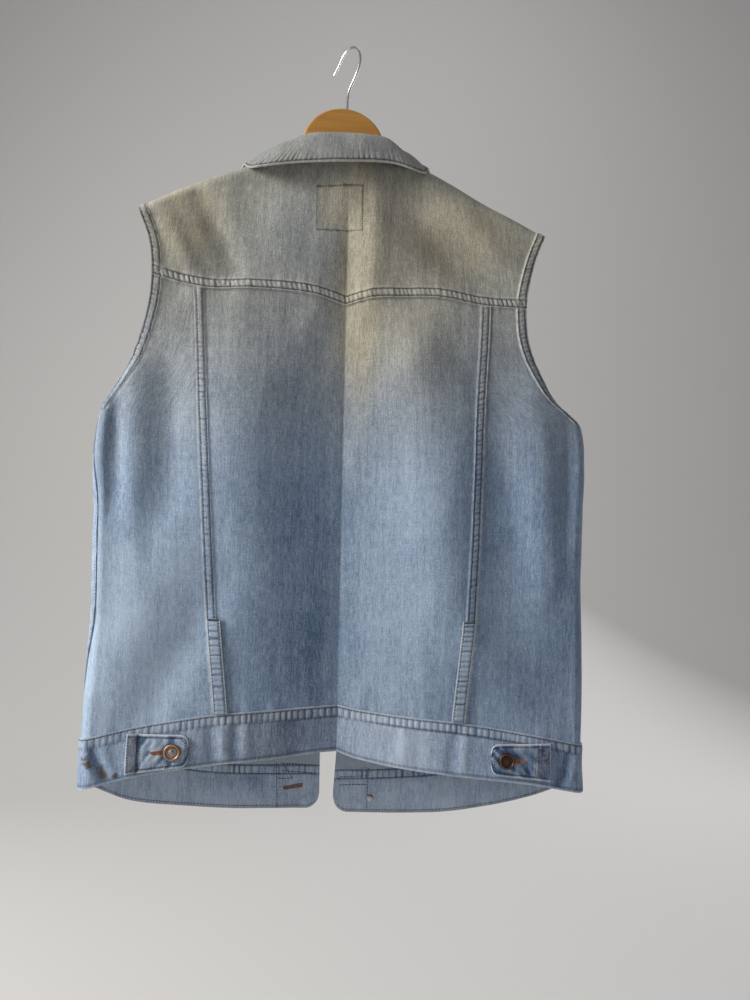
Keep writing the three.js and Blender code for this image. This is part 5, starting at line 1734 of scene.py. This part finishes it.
# %% Buttonholes
for side in (-1.2, 0, 1.2):
    hole_rows.append(
        inner_row(
            -54, -838 + side, -33, -835 + 1.3 * side, lift=0.1, pitch=0.7, length=2.1, half=0.34, across=True
        )
    )
for i in range(6):
    z = lerp(-246, -762, i / 5)
    for side in (-1, 1):
        d = np.linspace(9, 27, 60)
        x = -(sided(FRONT_EDGE, "z", -1, z) + d)
        height = np.full(60, z + 1.1 * side)
        place = np.stack([x, front_depth(x, height), height], -1)
        out = np.tile([0.0, 1.0, 0.0], (60, 1))
        lift = PLACKET["above"] + PLACKET["thick"] + 0.1
        hole_rows.append(stitches(place + out * lift, out, pitch=0.7, length=2.3, half=0.34, across=True))
hole_thread = sew("buttonhole_thread_rows", hole_rows, buttonhole_thread)

# %% [markdown]
# ## Buttons and rivets
# A jeans button is a stamped cap: a rolled rim round a shallow dish, on a shank. It is turned here like wood
# on a lathe: a profile of radius and height, swept round the axis, with a ring of small beads pressed into
# the dish. The tops are rubbed bright and the hollows stay dark, so each vertex keeps its own height for the
# material.

# %% Turned metal
BEADS = 14  # in the dish of a button


def turned(name, profile, sides, at, out, material, beads=0.0, bead_at=0.0, bead_wide=1.0):
    """A turned piece on a surface, from a profile of (radius, height) in millimetres."""
    radius, height = np.array(profile, float).T
    angle = np.arange(sides) * 2 * np.pi / sides
    r, h = np.repeat(radius[:, None], sides, 1), np.repeat(height[:, None], sides, 1)
    dish = (np.arange(len(radius)) > len(radius) // 2)[:, None]  # the profile's last half
    h = h + beads * np.cos(angle * BEADS)[None] * bell((r - bead_at) / bead_wide) * dish
    out = np.array(out, float)
    side = np.cross(out, [0, 0, 1.0])
    side /= np.linalg.norm(side)
    up = np.cross(side, out)
    spoke = np.cos(angle)[:, None] * side + np.sin(angle)[:, None] * up
    points = np.array(at) + r[..., None] * spoke[None] + h[..., None] * out
    corners = np.arange(len(radius) * sides).reshape(len(radius), sides)
    a, b = corners[:-1], corners[1:]
    faces = np.stack([a, np.roll(a, -1, 1), np.roll(b, -1, 1), b], -1).reshape(-1, 4)
    piece = mesh_piece(name, hung(points.reshape(-1, 3)), faces, [material])
    piece.data.set_sharp_from_angle(angle=math.radians(40))
    rubbed = piece.data.attributes.new("rubbed", "FLOAT", "POINT")
    share = (h - h.max() + 1.1) / 1.1
    rubbed.data.foreach_set("value", np.clip(share, 0, 1).reshape(-1).astype(np.float32))
    middle = piece.data.attributes.new("middle", "FLOAT", "POINT")
    middle.data.foreach_set("value", bell(r / (0.5 * radius.max())).reshape(-1).astype(np.float32))
    return piece


def worn_metal(name, bright, patina, centre, rough=0.38):
    """Plated metal: bright where it is rubbed, dark in its hollows, and of another tone in the middle."""
    material, tree, shader = material_tree(name)
    place = node(tree, "ShaderNodeTexCoord").outputs["Object"]
    spots = node(tree, "ShaderNodeTexNoise", {"Vector": place, "Scale": 420.0, "Detail": 4.0}).outputs["Fac"]
    share = calc(
        tree, "MULTIPLY", attribute(tree, "rubbed"), stretch(tree, spots, 0.3, 0.65, 0.35, 1.1), clamp=True
    )
    toned = blend(
        tree,
        calc(tree, "MULTIPLY", attribute(tree, "middle"), stretch(tree, spots, 0.3, 0.6, 0.5, 1.0)),
        blend(tree, share, patina, bright), centre,
    )
    tree.links.new(toned, shader.inputs["Base Color"])
    tree.links.new(stretch(tree, spots, 0.2, 0.8, rough, rough + 0.25), shader.inputs["Roughness"])
    tree.links.new(
        node(tree, "ShaderNodeBump", {"Height": spots, "Strength": 0.25, "Distance": 0.0004}).outputs[0],
        shader.inputs["Normal"],
    )
    shader.inputs["Metallic"].default_value = 1.0
    return material


rubbed_copper = worn_metal("rubbed_copper", shade(196, 160, 130), shade(110, 76, 52), shade(176, 178, 182))
dark_copper = worn_metal("dark_copper", shade(120, 92, 76), shade(50, 40, 38), shade(88, 68, 58))
rivet_zinc = worn_metal(
    "rivet_zinc", shade(206, 206, 204), shade(120, 120, 120), shade(206, 206, 204), rough=0.25
)
CAP = [
    (0, 0), (4, 0), (6.6, 0), (7.7, 0.5), (8.35, 1.2), (8.5, 2.0), (8.3, 2.8), (7.8, 3.35), (7.1, 3.6),
    (6.5, 3.45), (6.1, 3.0), (5.8, 2.7), (5.3, 2.75), (4.8, 2.85), (4.2, 2.9), (3.6, 2.85), (3.1, 2.75),
    (2.8, 2.95), (2.3, 3.15), (1.4, 3.28), (0.6, 3.32), (0.0, 3.33),
]
RIVET = [(0, 0), (2.5, 0), (3.6, 0.1), (3.8, 0.5), (3.5, 1.0), (2.8, 1.35), (1.8, 1.55), (0.8, 1.6), (0, 1.6)]
print("profiles:", len(CAP), len(RIVET))

# %% The buttons
BUTTON_CLEAR, RIVET_CLEAR = 0.45, 0.4
metal = []
for i, (name, material) in enumerate((("left", rubbed_copper), ("right", dark_copper))):
    t, v = np.array([TABS["button"][i]]), np.array([0.0])
    out = outward(tab_point(i), t, v, (0, TAB["length"]), (-1, 1), int(TABS["s"][i]))[0]
    seat = tab_point(i)(t, v)[0] + out * (BAND_LIFT + TAB["above"] + TAB["thick"] + BUTTON_CLEAR)
    cap = turned("tab_button_" + name, CAP, 56, seat, out, material, beads=0.16, bead_at=4.4, bead_wide=1.0)
    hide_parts("waist_tab_button_" + name)
    metal.append(cap)

FRONT_BUTTONS = [
    (float(read(FRONT_EDGE, "z", "right", z)) + 20, z, 2.3, CLOTH) for z in np.linspace(-246, -762, 6)
]
FRONT_BUTTONS.append((40.0, -849.0, BAND_LIFT, BAND_WALL - BAND_LIFT))
for number, (x, z, lift, sink) in enumerate(FRONT_BUTTONS, 1):
    place = np.array([x]), np.array([z])
    out = outward(
        lambda x, z: np.stack([x, front_depth(x, z), z], -1), *place, (x - 5, x + 5), (z - 5, z + 5), -1
    )[0]
    at = np.array([x, float(front_depth(x, z)), z])
    cap = turned(
        f"front_cap_{number}", CAP, 48, at + out * (lift + BUTTON_CLEAR), out, dark_copper, beads=0.16,
        bead_at=4.4,
    )
    head = turned(f"rivet_head_{number}", RIVET, 32, at - out * (sink + RIVET_CLEAR), -out, rivet_zinc)
    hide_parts(f"front_button_{number}")
    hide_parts(f"front_rivet_{number}")
    metal += [cap, head]
print("caps and rivets:", len(metal))

# %% [markdown]
# ## The hanger
# The board is sawn from flat stock, its edges are eased and it is varnished. A 2D curve in Blender is just
# that: an outline which is filled, given a thickness and a rounded edge. The hook is one bent wire, so it is
# a curve too, with a round bevel. Both follow the outline and the path of the CAD source.

# %% The board
BOARD = dict(thick=11.0, bevel=2.2, crest=47.0, crest_top=-74.5, reach=196.0, tilt=1.2, slope=0.48, x=-1.0)
SHOULDER = dict(x=71.0, z=-143.0, drop=3.5, hollow=51.0)
ARM = dict(drop=3.0, round=8.0, heel=12.0, deep=22.0, foot=10.0, foot_up=20.0)


def bow(start, control, end, count=14):
    """Points of a curve from start to end that bends towards a control point, without its start."""
    t = np.linspace(0, 1, count + 1)[1:, None]
    return (1 - t) ** 2 * np.array(start) + 2 * (1 - t) * t * np.array(control) + t**2 * np.array(end)


def board_outline():
    crest, middle = BOARD["crest"] - BOARD["bevel"], BOARD["crest_top"] - BOARD["crest"]
    angle = np.radians(np.linspace(-2, 90, 40))
    arc = np.stack([crest * np.cos(angle), middle + crest * np.sin(angle)], -1)
    tip = SHOULDER["z"] - ARM["drop"] - (BOARD["reach"] - SHOULDER["x"]) * BOARD["slope"]
    shoulder = (SHOULDER["x"], SHOULDER["z"] - SHOULDER["drop"])
    reach = BOARD["reach"]
    runs = [
        bow(arc[0], (SHOULDER["hollow"], SHOULDER["z"]), shoulder),
        np.array([(reach - ARM["round"], tip - 1)]),
        bow((reach - ARM["round"], tip - 1), (reach, tip - ARM["drop"]), (reach, tip - ARM["heel"])),
        bow(
            (reach, tip - ARM["heel"]), (reach, tip - ARM["deep"]),
            (reach - ARM["foot"], tip - ARM["foot_up"])
        ),
        bow((reach - ARM["foot"], tip - ARM["foot_up"]), (90, -188), (0, -176), 30),
    ]
    right = np.concatenate([arc[::-1], *runs])  # from the crown, down the right side, to the middle below
    return np.concatenate([right, right[-2:0:-1] * [-1, 1]])


def varnished_wood():
    material, tree, shader = material_tree("varnished_wood")
    place = node(tree, "ShaderNodeTexCoord").outputs["Object"]
    grain = noise_on(tree, place, 14, 260, 4, 0.6)
    rings = noise_on(tree, place, 5, 55, 2, 0.5)
    tone = calc(
        tree, "ADD", calc(tree, "MULTIPLY", stretch(tree, grain, 0.3, 0.7), 0.45),
        calc(tree, "MULTIPLY", stretch(tree, rings, 0.3, 0.7), 0.55),
    )
    tree.links.new(blend(tree, tone, shade(168, 112, 40), shade(206, 152, 68)), shader.inputs["Base Color"])
    tree.links.new(
        node(tree, "ShaderNodeBump", {"Height": grain, "Strength": 0.12, "Distance": 0.0004}).outputs[0],
        shader.inputs["Normal"],
    )
    shader.inputs["Roughness"].default_value = 0.42
    shader.inputs["Coat Weight"].default_value = 0.6
    shader.inputs["Coat Roughness"].default_value = 0.18
    return material


outline = board_outline()
board_curve = bpy.data.curves.new("hanger_board_wood", "CURVE")
board_curve.dimensions = "2D"
board_curve.fill_mode = "BOTH"
board_curve.extrude = (BOARD["thick"] / 2 - BOARD["bevel"]) * MM
board_curve.bevel_depth = BOARD["bevel"] * MM
board_curve.bevel_resolution = 5
line = board_curve.splines.new("POLY")
line.points.add(len(outline) - 1)
line.points.foreach_set(
    "co", np.column_stack([outline * MM, np.zeros(len(outline)), np.ones(len(outline))]).ravel()
)
line.use_cyclic_u = True
board_curve.materials.append(varnished_wood())
board = bpy.data.objects.new("hanger_board_wood", board_curve)
turned_up = Matrix.Rotation(math.radians(90), 4, "X")
tilted = Matrix.Rotation(math.radians(BOARD["tilt"]), 4, "Y")
board.matrix_world = Matrix.Translation((BOARD["x"] * MM, 0, 0)) @ tilted @ turned_up
bpy.context.scene.collection.objects.link(board)
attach(board, "root")
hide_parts("hanger_board")
print("board outline points:", len(outline))

# %% The hook
WIRE = dict(half=1.3, turned=54.0)
HOOK = [
    (0, -74.1), (0, -66), (0.8, -57), (3.5, -50), (8.5, -44), (15, -37), (20, -28.5), (21.5, -19),
    (17.5, -8), (9.5, -1), (0, 1.3), (-8, -1.2), (-14.5, -7), (-21, -13.5), (-26.5, -17.5),
]
hook_material, hook_tree, hook_shader = material_tree("chromed_wire")
hook_place = node(hook_tree, "ShaderNodeTexCoord").outputs["Object"]
hook_spots = node(
    hook_tree, "ShaderNodeTexNoise", {"Vector": hook_place, "Scale": 260.0, "Detail": 3.0}
).outputs["Fac"]
hook_tree.links.new(stretch(hook_tree, hook_spots, 0.3, 0.8, 0.12, 0.3), hook_shader.inputs["Roughness"])
hook_shader.inputs["Base Color"].default_value = shade(205, 203, 198)
hook_shader.inputs["Metallic"].default_value = 1.0
wire = bpy.data.curves.new("hook_wire", "CURVE")
wire.dimensions = "3D"
wire.bevel_depth = WIRE["half"] * MM
wire.bevel_resolution = 5
wire.resolution_u = 10
wire.use_fill_caps = True
path = wire.splines.new("BEZIER")
path.bezier_points.add(len(HOOK) - 1)
bend = math.radians(WIRE["turned"])
for spot, (across, up) in zip(path.bezier_points, HOOK):
    spot.co = (across * math.cos(bend) * MM, -across * math.sin(bend) * MM, up * MM)
    spot.handle_left_type = spot.handle_right_type = "AUTO"
wire.materials.append(hook_material)
hook = bpy.data.objects.new("hook_wire", wire)
bpy.context.scene.collection.objects.link(hook)
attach(hook, "root")
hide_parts("hanger_hook")
print("hook points:", len(HOOK))

# %% [markdown]
# ## Camera, floor and light
# The camera stands where the photograph was taken from. A soft lamp on the left makes the folds read, and a
# pale surround fills the shadows.

# %% Camera
CAMERA = dict(place=(-0.0431, -0.82, -0.6071), right=(0.9945, -0.1034, 0.0184), up=(-0.0284, -0.0962, 0.995),
              forward=(0.1011, 0.99, 0.0986), focal_px=751.0, long_side_px=1000.0)
camera_data = bpy.data.cameras.new("camera")
camera_data.sensor_width = 36.0
camera_data.lens = 36.0 * CAMERA["focal_px"] / CAMERA["long_side_px"]
camera = bpy.data.objects.new("camera", camera_data)
axes = Matrix([CAMERA["right"], CAMERA["up"], [-x for x in CAMERA["forward"]]]).transposed()
camera.matrix_world = Matrix.Translation(CAMERA["place"]) @ axes.to_4x4()
bpy.context.scene.collection.objects.link(camera)
bpy.context.scene.camera = camera
print("lens:", round(camera_data.lens, 2))

# %% Floor
FLOOR_Z = -1.35
floor_material, _, floor_shader = material_tree("pale_floor")
floor_shader.inputs["Base Color"].default_value = (0.66, 0.65, 0.64, 1)
floor_shader.inputs["Roughness"].default_value = 0.9
SWEEP = dict(half=7.0, front=-7.0, back=3.2, bend=1.4, top=6.0)
turn = np.linspace(0, np.pi / 2, 25)
profile = [(SWEEP["front"], FLOOR_Z)]
profile += [
    (SWEEP["back"] + SWEEP["bend"] * (np.sin(t) - 1), FLOOR_Z + SWEEP["bend"] * (1 - np.cos(t))) for t in turn
]
profile += [(SWEEP["back"], SWEEP["top"])]
floor_mesh = bpy.data.meshes.new("floor")
floor_mesh.from_pydata(
    [(x, y, z) for y, z in profile for x in (-SWEEP["half"], SWEEP["half"])], [],
    [(2 * i, 2 * i + 1, 2 * i + 3, 2 * i + 2) for i in range(len(profile) - 1)],
)
floor_mesh.shade_smooth()
floor_mesh.materials.append(floor_material)
floor = bpy.data.objects.new("floor", floor_mesh)
bpy.context.scene.collection.objects.link(floor)
floor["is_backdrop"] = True

# %% Light
world = bpy.data.worlds.new("studio")
world.use_nodes = True
world.node_tree.nodes["Background"].inputs["Color"].default_value = (0.25, 0.25, 0.26, 1)
bpy.context.scene.world = world
bpy.context.scene.view_settings.view_transform = "Standard"


def soft_lamp(name, place, target, size, watts, colour):
    """A square lamp that points at a target."""
    data = bpy.data.lights.new(name, "AREA")
    data.size, data.energy, data.color = size, watts, colour
    lamp = bpy.data.objects.new(name, data)
    lamp.location = place
    lamp.rotation_mode = "QUATERNION"
    lamp.rotation_quaternion = (Vector(target) - Vector(place)).to_track_quat("-Z", "Y")
    bpy.context.scene.collection.objects.link(lamp)
    return lamp


soft_lamp("window", (-2.45, -0.62, 0.45), (0, 0, -0.5), 0.9, 92, (1.0, 0.98, 0.94))
soft_lamp("sweep_light", (0.6, 0.9, 2.6), (0, 3.2, 0.2), 2.0, 14, (1.0, 0.98, 0.95))
soft_lamp("rear_fill", (1.8, 2.2, 0.4), (0, 0, -0.5), 1.6, 25, (1, 1, 1))

# %% [markdown]
# ## The flat cuts
# A sheet of cloth keeps its area when it hangs, so the area of each cut, as a cutter would mark it out, is
# worked out here from its outline and printed.

# %% Areas of the cuts
def planimeter(inner, outer, top, bottom, sides=(-1, 1)):
    """Area in square metres between lines of the cut, on one side of the middle or on both."""
    x, z = np.meshgrid(np.arange(290.0), np.arange(-880.0, -120.0))
    inside = [(x >= inner(s, z)) & (x < outer(s, z)) & (z < top(s, x)) & (z > bottom(s, x)) for s in sides]
    return np.sum(inside) * MM * MM


def round_side(turn, length, share=1.0):
    """What a cut gains where it goes round the side of the vest, by its turn in degrees."""
    return SIDE_ROUND * (math.radians(turn) - share) * length * MM * MM


def middle_line(s, z):
    return 0 * z


def opening(s, z):
    return sided(FRONT_EDGE, "z", s, z)


side_length = 385.0  # of a side seam
over_arm = (math.pi / 2 * math.hypot(RIDGE_ROUND, 18) / math.sqrt(2) - RIDGE_ROUND) * 2 * 160 * MM * MM
turns = {s: float(seam_angle(s, -600)) for s in (-1, 1)}  # how far the back goes round each side, in degrees
AREAS = dict(yoke=planimeter(middle_line, edge_x, back_top, yoke_seam_z) + over_arm)
AREAS["centre_panel"] = planimeter(middle_line, centre_panel_x, yoke_seam_z, back_band_z)
AREAS["waistband"] = (
    planimeter(middle_line, edge_x, back_band_z, back_hem_z) + round_side(turns[-1] + turns[1], 45, 2)
)
for s, name in ((-1, "left"), (1, "right")):
    panel_area = planimeter(centre_panel_x, edge_x, yoke_seam_z, back_band_z, (s,))
    AREAS["side_panel_" + name] = panel_area + round_side(turns[s], side_length)
    front_area = planimeter(opening, front_edge_x, front_top, front_band_z, (s,)) + over_arm / 2
    AREAS["front_cloth_" + name] = front_area + round_side(179 - turns[s], side_length)
    band_area = (
        planimeter(opening, front_edge_x, front_band_z, front_hem_z, (s,)) - 0.21 * CORNER**2 * MM * MM
    )
    AREAS["front_band_" + name] = band_area + round_side(179 - turns[s], 45)
    AREAS["tab_" + name] = TAB["length"] * (TAB["sewn_half"] + TAB["free_half"]) * MM * MM
fold_line, free_edge = collar_at(COLLAR["u"], "foldX foldY foldZ"), collar_at(COLLAR["u"], "x y z")
lengths = [np.linalg.norm(np.diff(line, axis=0), axis=1) for line in (fold_line, free_edge)]
depths = np.linalg.norm(free_edge - fold_line, axis=1) + np.asarray(COLLAR["roll"])
AREAS["collar_fall_cloth"] = (
    float(np.sum((lengths[0] + lengths[1]) / 2 * (depths[1:] + depths[:-1]) / 2)) * MM * MM
)
rises = np.linalg.norm(fold_line - neck_point(np.asarray(COLLAR["u"], float)), axis=1) - FOLD_GAP
AREAS["collar_stand_cloth"] = float(np.sum(lengths[0] * (rises[1:] + rises[:-1]) / 2)) * MM * MM
print({name: round(float(area), 4) for name, area in AREAS.items()})

# %% Finish
depsgraph = bpy.context.evaluated_depsgraph_get()
triangles = {}
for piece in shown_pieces():
    mesh = piece.evaluated_get(depsgraph).to_mesh()
    mesh.calc_loop_triangles()
    triangles[piece.name] = len(mesh.loop_triangles)
print("triangles:", sum(triangles.values()), "largest:", max(triangles.items(), key=lambda item: item[1]))
